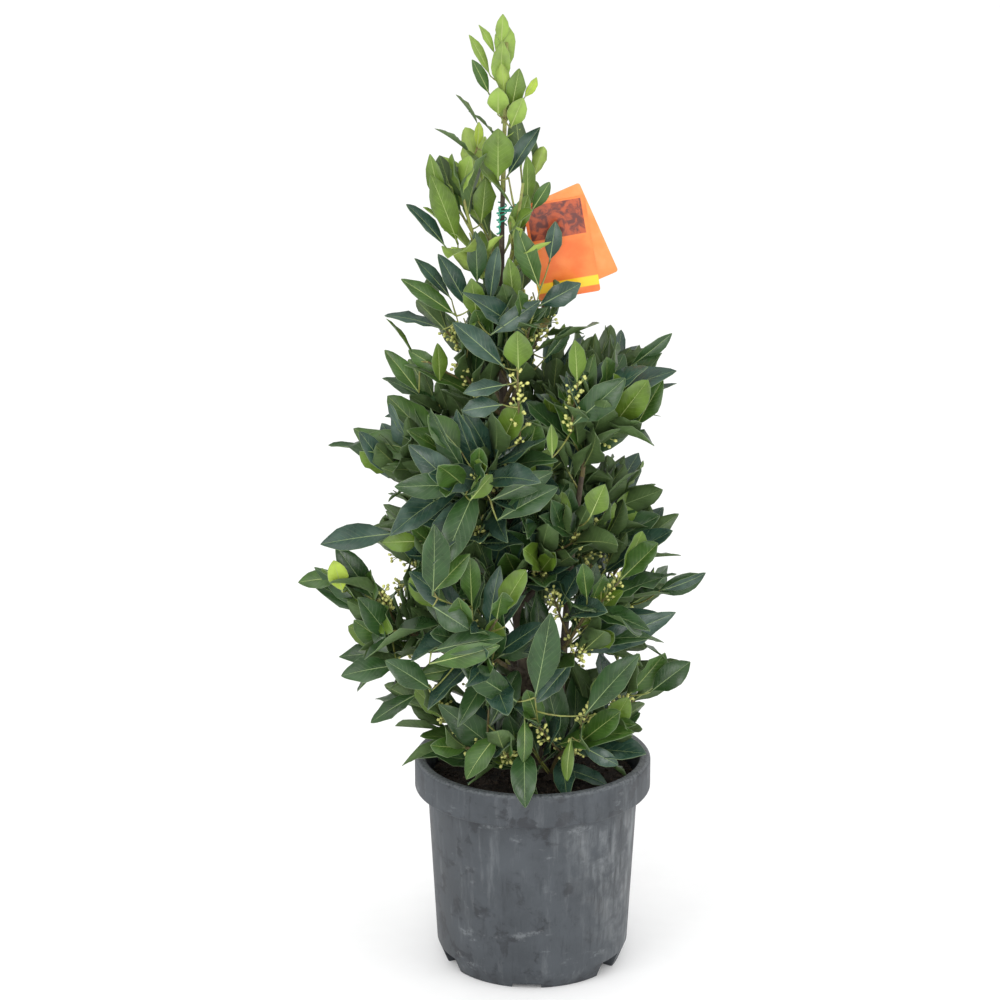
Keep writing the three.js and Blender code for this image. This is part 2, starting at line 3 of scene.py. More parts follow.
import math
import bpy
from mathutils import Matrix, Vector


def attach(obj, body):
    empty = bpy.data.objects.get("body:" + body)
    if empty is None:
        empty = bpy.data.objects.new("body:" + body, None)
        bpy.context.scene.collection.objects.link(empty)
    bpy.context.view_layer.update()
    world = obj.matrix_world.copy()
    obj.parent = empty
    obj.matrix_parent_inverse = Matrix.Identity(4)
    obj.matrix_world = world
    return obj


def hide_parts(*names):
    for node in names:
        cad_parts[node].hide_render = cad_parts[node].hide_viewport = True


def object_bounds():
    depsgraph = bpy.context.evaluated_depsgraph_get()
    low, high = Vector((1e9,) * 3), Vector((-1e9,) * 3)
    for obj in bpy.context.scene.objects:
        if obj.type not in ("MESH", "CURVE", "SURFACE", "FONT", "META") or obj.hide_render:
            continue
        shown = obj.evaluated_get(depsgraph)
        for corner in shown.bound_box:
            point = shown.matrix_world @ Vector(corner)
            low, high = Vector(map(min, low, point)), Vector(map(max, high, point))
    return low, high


bl_info = {
    "name": "Potted bay pyramid",
    "version": (1, 0, 0),
    "blender": (4, 5, 0),
    "location": "View3D > Sidebar > Bay",
    "description": "Models a bay pyramid in a grey nursery pot around its packed solids",
    "category": "Add Mesh",
}

import bpy
import numpy as np
from mathutils import Vector

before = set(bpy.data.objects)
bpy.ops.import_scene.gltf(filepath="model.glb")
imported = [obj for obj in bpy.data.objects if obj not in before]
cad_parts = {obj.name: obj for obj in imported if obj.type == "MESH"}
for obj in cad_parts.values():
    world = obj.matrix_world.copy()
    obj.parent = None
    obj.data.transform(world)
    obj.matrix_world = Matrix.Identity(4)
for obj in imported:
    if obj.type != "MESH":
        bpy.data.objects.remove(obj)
CAD_BOX = [list(corner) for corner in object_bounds()]
NODES = sorted(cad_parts)

MM = 0.001
UP = np.array((0.0, 0.0, 1.0))
RIGHT = np.array((1.0, 0.0, 0.0))
VIEWER = np.array((0.0, -1.0, 0.0))
UPRIGHT = 0.9
GOLDEN_ANGLE = math.pi * (3 - math.sqrt(5))

# The plant's rule of growth, in millimetres and degrees, as the solids follow it

GAP = 0.3
OVERREACH = 8
SOIL_TOP = 214
GROUND = SOIL_TOP + GAP
RIM_RADIUS, RIM_HEIGHT, MOUTH_RADIUS, POT_ROOM = 130, 238, 114, 2
TRUNK_TIP = 868
TRUNK_RADII = (8.0, 2.4)
TRUNK_FLARE, FLARE_HEIGHT = 4.5, 14
LEADER_LENGTH, LEADER_SIZE, LEADER_FULL = 158, 0.6, 0.42

# Limbs: where stems stand, how far chance moves heights and reaches, the step between the feet
# of neighbours, and where a stem and a bough bend, as shares of the way out and up
STEM_RING = 25
TALL_STEMS = ("upper_3", "upper_5")
HEIGHT_SPREAD, REACH_SPREAD, FOOT_STEP = 14, 0.07, 14
STEM_BEND, BOUGH_BEND = (0.2, 0.62), (0.55, 0.36)

# Shoots by order, their radii at foot and tip, and their shares without leaves
MAIN, TWIG, FINE = range(3)
SHOOT_RADII, TWIG_RADII, FINE_RADII, THREAD_RADII = (2.7, 1.5), (1.5, 1.0), (1.15, 0.8), (1.1, 0.7)
BARE_ON_TRUNK, BARE_ON_BOUGH, BARE_TWIG = 0.28, 0.12, 0.3
HEART = 0.8

# Twigs on a shoot: how many, their angle and length, and the first and last place on it
SIDE_TWIGS = (3, 48, 58, 0.25, 0.72)
FINE_TWIGS = (2, 44, 36, 0.34, 0.86)
TWIG_FORKS = (1, 44, 30, 0.5, 0.5)
TWIG_SPREAD, TWIG_LIFT, FULL_MASS = 0.22, 0.36, 0.8

# Spurs on a mass's own limb
SPURS, SPUR_ANGLE, SPUR_LENGTH, SPUR_SPREAD, SPUR_LIFT = 3, 56, 46, 0.2, 0.6
SPUR_PLACES = (0.5, 0.95)

# Leaves by tier: the lean of the lowest and the highest on a shoot, and the lift towards the light
LEAN = {
    "skirt": (68, 34), "low": (66, 30), "middle": (62, 28), "upper": (58, 26), "high": (48, 20),
    "neck": (42, 16), "leader": (40, 12),
}
LIFT = {
    "skirt": 0.12, "low": 0.32, "middle": 0.4, "upper": 0.4, "high": 0.4, "neck": 0.4, "leader": 0.4
}

# Tiers from the soil up: number of limbs and turn of the first, height where they spring (0 for the
# soil), height and reach of their ends, length of the leafy shoot (0 for a whole limb), size and
# fullness of the leaves, and how reach and height change towards one side
TIERS = (
    {"name": "skirt", "count": 5, "turn": 229, "spring": 0, "height": 286, "reach": 113,
     "shoot": 96, "size": 1, "swell": 0, "tilt": 8, "full": 0.7},
    {"name": "low", "count": 6, "turn": 190, "spring": 316, "height": 438, "reach": 139,
     "shoot": 126, "size": 1, "swell": 0.11, "tilt": 19, "full": 1},
    {"name": "middle", "count": 5, "turn": 236, "spring": 406, "height": 511, "reach": 83,
     "shoot": 94, "size": 1, "swell": -0.07, "tilt": -9, "full": 1},
    {"name": "upper", "count": 5, "turn": 184, "spring": 505, "height": 591, "reach": 92,
     "shoot": 72, "size": 1, "swell": -0.19, "tilt": 33, "full": 1},
    {"name": "high", "count": 4, "turn": 212, "spring": 622, "height": 712, "reach": 59,
     "shoot": 0, "size": 0.92, "swell": -0.02, "tilt": 34, "full": 0.85},
    {"name": "neck", "count": 4, "turn": 210, "spring": 740, "height": 871, "reach": 42,
     "shoot": 0, "size": 0.8, "swell": 0.13, "tilt": 9, "full": 0.7},
)


class Dice:
    """Repeatable chance, the same as in the solids' source."""

    def __init__(self, seed):
        self.state = (seed + 1) * 2654435761 % 2**32

    def roll(self):
        self.state = (self.state * 1664525 + 1013904223) % 2**32
        return self.state / 2**32

    def between(self, low, high):
        return low + (high - low) * self.roll()

    def about(self, middle, spread):
        return middle + spread * (2 * self.roll() - 1)

    def pick(self, choices):
        return choices[int(self.roll() * len(choices))]


def blend(first, second, share):
    return first + (second - first) * share


def unit(vector):
    return vector / np.linalg.norm(vector, axis=-1, keepdims=True)


def compass(azimuth):
    return np.array((math.cos(azimuth), math.sin(azimuth), 0.0))


class Curve:
    """A limb's line: a foot, a bend and an end."""

    def __init__(self, foot, bend, end):
        self.foot, self.bend, self.end = (np.array(point, float) for point in (foot, bend, end))

    def at(self, share):
        share = np.asarray(share, float)[..., None]
        first = (1 - share) ** 2 * self.foot + 2 * share * (1 - share) * self.bend
        return first + share**2 * self.end

    def along(self, share):
        share = np.asarray(share, float)[..., None]
        return unit((1 - share) * (self.bend - self.foot) + share * (self.end - self.bend))

    def length(self):
        return np.linalg.norm(np.diff(self.at(np.linspace(0, 1, 201)), axis=0), axis=1).sum()

    def seat(self, share):
        """Point at a share of the line, its direction, and two directions square to it."""
        along = self.along(share)
        across = unit(np.cross(RIGHT if abs(along[2]) > UPRIGHT else UP, along))
        return self.at(share), along, across, np.cross(across, along)


def branch_off(seat, angle, turn):
    """Direction turned out from a line by an angle, at a turn round it."""
    _, along, across, out = seat
    spread = across * math.cos(turn) + out * math.sin(turn)
    return along * math.cos(angle) + spread * math.sin(angle)


TRUNK = Curve((6, 4, GROUND), (-42, 8, (GROUND + TRUNK_TIP) / 2), (-33, 0, TRUNK_TIP))


def trunk_share(height):
    return (height - GROUND) / (TRUNK_TIP - GROUND)


def trunk_at(height):
    return TRUNK.at(trunk_share(height))


def trunk_radius(share):
    flare = TRUNK_FLARE * np.exp(-share * (TRUNK_TIP - GROUND) / FLARE_HEIGHT)
    return blend(*TRUNK_RADII, share) + flare


class Shoot:
    """A leafy shoot or twig of one mass of foliage."""

    def __init__(self, mass, curve, start, bare, leaves, size, radii, order):
        self.mass, self.curve, self.start, self.bare = mass, curve, start, bare
        self.leaves, self.size, self.radii, self.order = leaves, size, radii, order

    def seat(self, share):
        return self.curve.seat(blend(self.start, 1, share))

    def line(self, steps):
        return self.curve.at(np.linspace(self.start, 1, steps + 1))


class Mass:
    """One mass of foliage: the limb that carries it, and its main shoot."""

    def __init__(self, seed, tier, line, split, from_soil, on_trunk, size, full):
        self.seed, self.tier, self.line, self.split = seed, tier, line, split
        self.from_soil, self.size, self.full = from_soil, size, full
        start = 0 if on_trunk else split + GAP / line.length()
        bare = BARE_ON_TRUNK if on_trunk else BARE_ON_BOUGH
        self.shoot = Shoot(self, line, start, bare, 0, size, SHOOT_RADII, MAIN)
        self.middle = self.shoot.seat(HEART)[0]


def plan_masses():
    """Every limb and its mass, tier by tier, and the leading shoot."""
    masses = []
    for tier in TIERS:
        for i in range(tier["count"]):
            chance = Dice(len(masses))
            azimuth = math.radians(tier["turn"] + 360 * i / tier["count"])
            aside = math.cos(azimuth)
            height = chance.about(tier["height"], HEIGHT_SPREAD) + tier["tilt"] * aside
            reach = tier["reach"] * chance.about(1, REACH_SPREAD) * (1 - tier["swell"] * aside)
            end = trunk_at(height) + compass(azimuth) * reach
            from_soil = tier["spring"] == 0 or f"{tier['name']}_{i + 1}" in TALL_STEMS
            if from_soil:
                foot = trunk_at(GROUND) + compass(azimuth) * STEM_RING
            else:
                foot = trunk_at(tier["spring"] + i % 2 * FOOT_STEP)
            outward, upward = STEM_BEND if from_soil else BOUGH_BEND
            bend = blend(foot, end, outward)
            bend[2] = blend(foot[2], end[2], upward)
            line = Curve(foot, bend, end)
            split = 1 - tier["shoot"] / line.length() if tier["shoot"] else 0
            masses.append(Mass(len(masses), tier["name"], line, split, from_soil, split == 0,
                               tier["size"], tier["full"]))
    foot = trunk_at(TRUNK_TIP)
    tip = foot + TRUNK.along(1) * LEADER_LENGTH
    line = Curve(foot, (foot + tip) / 2, tip)
    masses.append(Mass(len(masses), "leader", line, 0, False, False, LEADER_SIZE, LEADER_FULL))
    return masses


# Where the sky shows through the crown from the front: aside, height and radius
OPENINGS = (
    (-20, 888, 9), (-21, 866, 9), (-33, 850, 9), (-37, 834, 9), (-69, 833, 7), (4, 757, 11),
    (-78, 737, 9), (-126, 716, 17), (-142, 727, 10), (6, 710, 6), (6, 694, 6), (-94, 692, 10),
    (-158, 445, 16), (84, 451, 7), (25, 413, 7), (25, 398, 7), (-61, 398, 6), (-24, 389, 7),
    (47, 378, 8), (53, 350, 7), (66, 338, 6), (134, 277, 15), (149, 564, 17), (-221, 391, 13),
    (-171, 516, 10), (-203, 572, 13), (167, 496, 15), (170, 466, 8), (-118, 881, 7),
)

# The label: height of its tie on the trunk, reach of the tie, and inset of the cards' holes
LABEL_HEIGHT, TIE_REACH, HOLE_INSET = 848, 28, 6
TIE_POINT = trunk_at(LABEL_HEIGHT)
HOLE_POINT = TIE_POINT + RIGHT * TIE_REACH

# Beads that stand for limbs and cards in the tests of room: their numbers and radii
TRUNK_BEADS, LIMB_BEADS, SHOOT_BEADS = 160, 60, 34
LIMB_BEAD, SHOOT_BEAD, CARD_BEAD, CARD_PITCH = 3.4, 2.4, 2.5, 4
NEARBY, NOBODY = 130, -1


class Room:
    """What leaves and twigs keep clear of: limbs, label, pot and other masses' space."""

    def __init__(self, masses, label, stage):
        self.eye = np.array((stage.aside, -stage.distance, stage.camera_height)) / MM
        places = np.array([(aside, 0, height) for aside, height, _ in OPENINGS], float)
        self.sights = unit(places - self.eye)
        self.widths = np.array([radius for *_, radius in OPENINGS], float)
        self.middles = np.array([mass.middle for mass in masses])
        self.lowest, self.highest = (np.array(corner) / MM for corner in CAD_BOX)
        beads = [self.string(TRUNK, 0, 1, trunk_radius(np.linspace(0, 1, TRUNK_BEADS)), NOBODY)]
        limb, shoot = np.full(LIMB_BEADS, LIMB_BEAD), np.full(SHOOT_BEADS, SHOOT_BEAD)
        for mass in masses:
            beads.append(self.string(mass.line, mass.shoot.start, 1, shoot, mass.seed))
            if mass.split:
                beads.append(self.string(mass.line, 0, mass.split, limb, NOBODY))
        beads += [self.card(label, tilt) for tilt in (label.front_tilt, label.back_tilt)]
        beads = np.concatenate(beads)
        self.centres, self.radii, self.owners = beads[:, :3], beads[:, 3], beads[:, 4]

    @staticmethod
    def string(curve, start, end, radii, owner):
        """Beads along a part of a line."""
        points = curve.at(np.linspace(start, end, len(radii)))
        return np.column_stack((points, radii, np.full(len(radii), owner)))

    @staticmethod
    def card(label, tilt):
        """Beads over a hanging card."""
        across = np.arange(-HOLE_INSET, label.width / MM, CARD_PITCH)
        down = np.arange(HOLE_INSET, -label.length / MM, -CARD_PITCH)
        x, z = (grid.ravel() for grid in np.meshgrid(across, down))
        cos, sin = math.cos(tilt), math.sin(tilt)
        points = np.column_stack((x * cos - z * sin, np.zeros_like(x), x * sin + z * cos))
        radii, owners = np.full(len(x), CARD_BEAD), np.full(len(x), NOBODY)
        return np.column_stack((points + HOLE_POINT, radii, owners))

    def in_space(self, points, mass, margin):
        """Whether points stay in the part's box and on their own mass's side of the others."""
        towards = unit(np.delete(self.middles - mass.middle, mass.seed, axis=0))
        halfway = np.delete((self.middles + mass.middle) / 2, mass.seed, axis=0)
        reach = points @ towards.T - (halfway * towards).sum(axis=1)
        low, high = self.lowest - OVERREACH, self.highest + OVERREACH
        inside = ((points > low) & (points < high)).all()
        return bool(inside and (reach < margin).all())

    @staticmethod
    def in_pot(points, soil_room):
        """Whether a point lies in the pot's wall or in the compost."""
        radius, height = np.hypot(points[:, 0], points[:, 1]), points[:, 2]
        low = (radius < RIM_RADIUS + POT_ROOM) & (height < RIM_HEIGHT + POT_ROOM)
        return bool((low & ((radius > MOUTH_RADIUS) | (height < SOIL_TOP + soil_room))).any())

    def in_opening(self, points):
        """Whether a point would cover a place where the sky shows through."""
        towards = points - self.eye
        along = towards @ self.sights.T
        aside = np.sqrt((towards**2).sum(axis=1)[:, None] - along**2)
        return bool((aside < self.widths).any())

    def meets_limb(self, points, mass, room):
        """Whether a point comes too near a limb, a card or another mass's shoot."""
        near = np.linalg.norm(self.centres - points[0], axis=1) < NEARBY
        near &= self.owners != mass.seed
        gaps = np.linalg.norm(self.centres[near][:, None] - points[None], axis=2)
        return bool((gaps < self.radii[near][:, None] + room).any())


# A leaf's form: half width and droop from the oldest to the youngest, fold, twist, waves and ruffles
HALF_WIDTHS, HALF_SPREAD = (0.150, 0.205), 0.024
DROOPS, DROOP_SPREAD, LEAST_BEND = (0.42, 0.05), 0.36, 0.01
FOLD, FOLD_SPREAD, TWIST_SPREAD = 0.42, 0.24, 0.6
WAVE_HEIGHTS, WAVE_COUNTS, RUFFLES = (0.020, 0.052), (1.6, 3.0), (0.02, 0.08)
WAVE_SKEW, RUFFLE_PACE, FOLD_STEEP, FOLD_EASE = 1.4, 1.3, 1.15, 0.3


class Leaf:
    """One blade: where it sits, which way it grows and how it is bent."""

    def __init__(self, root, along, normal, length, chance, youth, tone):
        self.root, self.along, self.normal, self.length = root, along, normal, length
        self.left = np.cross(normal, along)
        self.tone = tone
        self.half = length * chance.about(blend(*HALF_WIDTHS, youth**2), HALF_SPREAD)
        self.fold = chance.about(FOLD, FOLD_SPREAD)
        self.droop = chance.about(blend(*DROOPS, youth), DROOP_SPREAD)
        self.twist = chance.about(0, TWIST_SPREAD)
        self.wave = length * chance.between(*WAVE_HEIGHTS)
        self.waves = chance.between(*WAVE_COUNTS)
        self.phase = chance.between(0, 2 * math.pi)
        self.ruffle = chance.between(*RUFFLES)
        self.broad = blend(0.5 * chance.roll() ** 2, 1, youth**3)

    def shape(self, share):
        """Half width along the blade: between lance-shaped and broad-ended, with a ruffled edge."""
        outline = np.interp(share, STATIONS, blend(LANCE, BROAD, self.broad))
        return self.half * outline * (1 + self.ruffle * np.sin(self.sway(share) * RUFFLE_PACE))

    def sway(self, share):
        return 2 * math.pi * self.waves * share + self.phase

    def surface(self, share, aside, above):
        """Points at shares along the curved rib, aside from it and above it."""
        bend = self.droop if abs(self.droop) > LEAST_BEND else LEAST_BEND
        turn = bend * share
        wring = self.twist * share
        side = aside * np.cos(wring) - above * np.sin(wring)
        rise = aside * np.sin(wring) + above * np.cos(wring)
        forward = self.length * np.sin(turn) / bend + rise * np.sin(turn)
        height = -self.length * (1 - np.cos(turn)) / bend + rise * np.cos(turn)
        spread = (forward[..., None] * self.along + side[..., None] * self.left
                  + height[..., None] * self.normal)
        return self.root + spread

    def ripple(self, share, across, half):
        """Height of the folded and wavy blade over its rib."""
        edge = np.abs(across)
        wave = self.wave * edge**2 * np.sin(self.sway(share) + across * WAVE_SKEW)
        fold = self.fold * (FOLD_STEEP - FOLD_EASE * edge)
        return edge * half * fold + wave * half / self.half

    def probe(self):
        """Points over the blade, past its stalk, that stand for it in the tests of room."""
        share, across = np.meshgrid(np.linspace(0.25, 1, 7), (0.0, -0.85, 0.85), indexing="ij")
        half = self.shape(share)
        return self.surface(share, across * half, self.ripple(share, across, half)).reshape(-1, 3)


# A blade's outline: places along it, and half widths of a lance-shaped and a broad-ended one
STATIONS = np.array((0, 0.08, 0.19, 0.33, 0.48, 0.62, 0.76, 0.88, 0.955, 1))
LANCE = np.array((0.06, 0.07, 0.42, 0.81, 0.99, 0.96, 0.73, 0.39, 0.16, 0.012))
BROAD = np.array((0.06, 0.07, 0.33, 0.69, 0.93, 1.0, 0.92, 0.65, 0.36, 0.02))
COLUMNS = 4
RIB_HALF, RIB_TAPER, RIB_MOST = 0.47, 1.15, 0.8
BLADE_THICK, MARGIN, KEEL, THIN_EDGE = 0.5, 0.36, 1.0, 0.3
BLADE, RIB, EDGE, UNDERSIDE = range(4)


def blade_faces():
    """Corner numbers of a blade's faces, and the part of the leaf that each belongs to."""
    rows, last = len(STATIONS), COLUMNS - 1
    corners = np.arange(2 * rows * COLUMNS).reshape(2, rows, COLUMNS)
    upper, lower = corners.tolist()
    faces, parts = [], []
    for row in range(rows - 1):
        top, over = upper[row], upper[row + 1]
        under, beyond = lower[row], lower[row + 1]
        for k in range(last):
            faces.append((top[k], over[k], over[k + 1], top[k + 1]))
            faces.append((under[k], under[k + 1], beyond[k + 1], beyond[k]))
            parts += [RIB, RIB] if k == 1 else [BLADE, UNDERSIDE]
        faces.append((top[last], over[last], beyond[last], under[last]))
        faces.append((over[0], top[0], under[0], beyond[0]))
        parts += [EDGE, EDGE]
    for row, turned in ((0, 1), (rows - 1, -1)):
        end = upper[row] + lower[row][::-1]
        faces.append(tuple(end[::turned]))
        parts.append(EDGE)
    return faces, np.array(parts)


def blade_points(leaf):
    """Points of a leaf's upper face and underside, and their places on the blade's own map."""
    half = leaf.shape(STATIONS)
    rib = np.minimum(RIB_MOST, RIB_HALF * (RIB_TAPER - STATIONS) / half)
    one = np.ones_like(half)
    across = np.column_stack((-one, -rib, rib, one))
    share = np.repeat(STATIONS[:, None], COLUMNS, axis=1)
    widths = half[:, None]
    lift = leaf.ripple(share, across, widths)
    keel = one + KEEL * (1 - STATIONS)
    thickness = np.column_stack((THIN_EDGE * one, keel, keel, THIN_EDGE * one))
    margin = np.column_stack((one, 0 * one, 0 * one, one)) * MARGIN
    top = leaf.surface(share, across * widths, lift + BLADE_THICK / 2)
    bottom = leaf.surface(share, across * (widths + margin), lift - thickness * BLADE_THICK / 2)
    chart = np.column_stack((0.5 + 0.5 * across.ravel(), share.ravel()))
    points = np.concatenate((top.reshape(-1, 3), bottom.reshape(-1, 3)))
    return points, np.concatenate((chart, chart))


# Tones of the blades from the oldest to the youngest, and how they are dealt out
DEEP, DARK, GREEN, FRESH, LIGHT, YELLOW = range(6)
YOUNG_TIERS, SHADY_TIERS = ("neck", "leader"), ("skirt", "low")
YOUNG_TONES, YOUNG_TIPS = (FRESH, FRESH, LIGHT), (FRESH, LIGHT)
SHADY_TONES, SUNNY_TONES = (DEEP, DARK, DARK, DARK, GREEN), (DEEP, DEEP, DARK, DARK, GREEN)
FLUSH_TIPS, OLD_TIPS = (GREEN, FRESH, FRESH), (GREEN, GREEN, FRESH)
TONE_STEPS = (-1, 0, 0, 0, 1)
YOUNG_FLUSH, SHADY_FLUSH = 0.95, 0.7

# Leaves that stand out of the rest: root, tip, half width, tone, turn about the rib and bow
LONE_LEAVES = (
    ((-35, 0, 1023), (-33, 0, 1055), 7, LIGHT, 0.2, 0.1),
    ((-37, -6, 977), (-33, -8, 1028), 10, LIGHT, 0.0, 0.2),
    ((-41, 0, 1013), (-58, -8, 1045), 5, LIGHT, 0.5, 0.2),
    ((-46, -3, 991), (-68, -10, 1035), 6, LIGHT, 0.4, 0.2),
    ((-47, -6, 972), (-65, -14, 1010), 7, GREEN, 0.3, 0.2),
    ((-24, -6, 957), (-16, -9, 1000), 10, FRESH, 0.1, 0.2),
    ((-34, 4, 940), (-26, 6, 984), 9, LIGHT, -0.3, 0.2),
    ((-38, -13, 952), (-38, -20, 982), 11, LIGHT, 0.0, 0.3),
    ((-60, -8, 916), (-58, -9, 944), 5, YELLOW, 0.3, 0.2),
    ((-11, -5, 968), (2, -5, 990), 5, YELLOW, 0.6, 0.1),
    ((-25, -12, 938), (-12, -18, 971), 10, LIGHT, 0.1, 0.2),
    ((-58, -6, 939), (-82, -6, 972), 7, FRESH, 1.3, 0.2),
    ((-64, -8, 907), (-104, -10, 937), 8, GREEN, 1.4, 0.3),
    ((-38, -22, 885), (-38, -30, 941), 17, FRESH, 0.0, 0.2),
    ((-29, -4, 884), (6, 4, 936), 10, DEEP, -0.3, 0.2),
    ((-92, -20, 812), (-134, -20, 859), 8, DEEP, 0.4, 0.4),
    ((6, -30, 770), (-19, -34, 840), 12, GREEN, -0.2, 0.2),
    ((16, -18, 797), (22, -16, 840), 9, DEEP, 0.2, 0.2),
    ((4, -26, 751), (49, -22, 775), 12, DEEP, 0.3, 0.3),
    ((128, -20, 317), (171, -20, 352), 14, DARK, 0.0, 0.4),
    ((-123, -30, 320), (-177, -30, 285), 10, DARK, 0.3, 0.4),
    ((-82, -20, 739), (-140, -20, 779), 10, GREEN, 0.1, 0.3),
    ((-87, -10, 754), (-126, -10, 799), 8, DEEP, 0.4, 0.3),
    ((-68, -25, 747), (-101, -25, 807), 11, DEEP, 0.2, 0.2),
    ((-97, -15, 723), (-158, -15, 738), 9, DEEP, 0.7, 0.5),
    ((-126, -20, 692), (-156, -20, 736), 7, FRESH, 1.2, 0.3),
    ((-122, -20, 655), (-158, -20, 702), 10, GREEN, 0.1, 0.3),
    ((-100, -30, 668), (-102, -30, 712), 9, FRESH, 0.4, 0.2),
    ((-151, -25, 562), (-186, -25, 614), 11, DEEP, 0.2, 0.3),
    ((-146, -56, 510), (-227, -60, 499), 15, DEEP, 0.2, 0.3),
    ((-171, -35, 428), (-212, -35, 489), 14, DARK, 0.0, 0.4),
    ((100, -15, 681), (146, -15, 719), 8, DARK, 0.4, 0.3),
    ((12, -35, 697), (38, -35, 732), 7, DARK, 0.5, 0.3),
    ((-21, -38, 750), (-27, -42, 807), 10, FRESH, 0.2, 0.2),
    ((-47, -36, 753), (-38, -40, 819), 9, DEEP, -0.4, 0.2),
    ((-60, -32, 776), (-62, -36, 834), 11, DARK, 0.2, 0.3),
    ((-60, -40, 740), (-66, -46, 786), 12, FRESH, 0.0, 0.2),
    ((-80, -20, 816), (-108, -26, 891), 14, FRESH, 0.2, 0.2),
    ((-97, -10, 854), (-109, -14, 911), 9, FRESH, -0.2, 0.2),
    ((-56, -6, 835), (-51, -10, 886), 12, FRESH, 0.3, 0.2),
    ((-8, -4, 850), (-8, -8, 908), 8, FRESH, 0.5, 0.2),
    ((-3, -8, 849), (16, -12, 881), 7, GREEN, 0.2, 0.2),
    ((1, -128, 351), (17, -150, 453), 17, DARK, 0.2, 0.3),
    ((-18, -128, 346), (-78, -150, 395), 15, DARK, 0.0, 0.4),
    ((54, -118, 327), (111, -130, 400), 16, DARK, -0.3, 0.3),
    ((-37, -88, 295), (-72, -108, 250), 14, GREEN, 0.3, 0.7),
    ((-10, -100, 317), (-11, -116, 272), 9, GREEN, -0.2, 0.6),
    ((41, -86, 290), (36, -104, 246), 7, FRESH, 0.3, 0.7),
    ((51, -82, 279), (91, -94, 261), 9, DEEP, 0.2, 0.6),
    ((-106, -156, 474), (-104, -164, 554), 16, DARK, 0.3, 0.3),
    ((-105, -146, 475), (-67, -152, 518), 12, GREEN, -0.2, 0.3),
    ((-106, -150, 460), (-68, -158, 437), 13, DARK, 0.1, 0.5),
    ((-119, -64, 504), (-161, -72, 505), 11, FRESH, -0.2, 0.4),
    ((-151, -74, 395), (-187, -82, 447), 15, DARK, 0.2, 0.3),
    ((-108, -150, 410), (-32, -158, 428), 14, DARK, -0.3, 0.4),
    ((-110, -154, 398), (-36, -162, 421), 12, GREEN, 0.3, 0.4),
    ((-108, -120, 356), (-157, -130, 393), 14, DARK, 0.1, 0.4),
    ((-144, -112, 381), (-204, -120, 372), 14, DARK, 0.2, 0.5),
    ((-17, -98, 701), (-18, -104, 744), 15, FRESH, 0.0, 0.2),
    ((44, -92, 685), (41, -98, 733), 10, FRESH, 0.3, 0.2),
    ((-29, -98, 685), (-74, -102, 677), 9, DEEP, 0.1, 0.4),
    ((-33, -96, 663), (-76, -100, 657), 11, DEEP, 0.0, 0.4),
    ((39, -94, 640), (94, -98, 692), 16, DARK, 0.2, 0.3),
    ((-31, -90, 701), (-85, -84, 748), 13, DEEP, 0.1, 0.3),
    ((-46, -70, 731), (6, -62, 766), 11, DEEP, 0.2, 0.3),
    ((107, -60, 628), (135, -60, 680), 13, GREEN, -0.2, 0.3),
    ((-76, -108, 615), (-111, -104, 654), 15, GREEN, 0.1, 0.3),
    ((-72, -124, 573), (-131, -118, 626), 15, DEEP, 0.0, 0.3),
    ((-46, -126, 568), (19, -122, 598), 11, DARK, 0.3, 0.4),
    ((-39, -128, 547), (24, -128, 583), 14, DARK, -0.1, 0.4),
    ((-67, -132, 570), (-44, -132, 598), 10, FRESH, 0.2, 0.2),
    ((58, -120, 548), (73, -124, 585), 13, FRESH, 0.0, 0.2),
    ((18, -118, 612), (17, -118, 648), 6, FRESH, 0.2, 0.2),
    ((137, -20, 434), (186, -20, 454), 7, DEEP, 0.8, 0.4),
    ((-9, -95, 281), (-9, -142, 231), 14, DARK, 0.1, 1.2),
    ((-204, -24, 450), (-254, -20, 443), 11, GREEN, 0.2, 0.4),
    ((-204, -62, 446), (-213, -66, 483), 11, YELLOW, 0.0, 0.2),
    ((132, 0, 424), (186, 0, 445), 11, DARK, 0.3, 0.3),
)

# Flowering shoots that stand in front: foot and tip
LONE_SHOOTS = (
    ((-15, -92, 621), (-18, -100, 699)),
    ((38, -88, 631), (44, -96, 685)),
)

# How leaves sit: spread of their turn and lean, the shares of a shoot that they fill, the lean and
# places of the leaves at its end, and the places of the buds
TURN_SPREAD, LEAN_SPREAD, ROLL_SPREAD, LENGTH_SPREAD = 16, 15, 30, 0.2
LAST_LEAF, LEADER_LAST, HIGH_LEAF = 0.7, 0.95, 0.78
TIP_LEAN, TIP_SPREAD, TIP_PLACE, TIP_STEP = 16, 9, 0.985, 0.04
BUD_PLACES, LONE_BUDS = (0.42, 0.98), 4
TRIMS = (1, 0.88, 0.76, 0.64)
FACE_STEM, FACE_UP, FACE_OUT, OUTWARD_EASE, STALK_SEAT = 0.8, 0.5, 0.7, 20, 0.6
LONE_YOUTH, LONE_WAVE, THREAD_SAG = 0.5, 0.5, 0.12

# How far leaves and twigs may cross into a neighbour's space, and their room over soil and limbs
LEAF_MARGIN, LEAF_SOIL_ROOM, LEAF_LIMB_ROOM = 14, 1, 1.2
TWIG_MARGIN, TWIG_SOIL_ROOM, TWIG_LIMB_ROOM = 4, 3, 1.5
TWIG_BEND, TWIG_SAG, TWIG_RISE = 0.55, 0.04, 0.05
MASS_SEED, LONE_SEED = 1000, 77


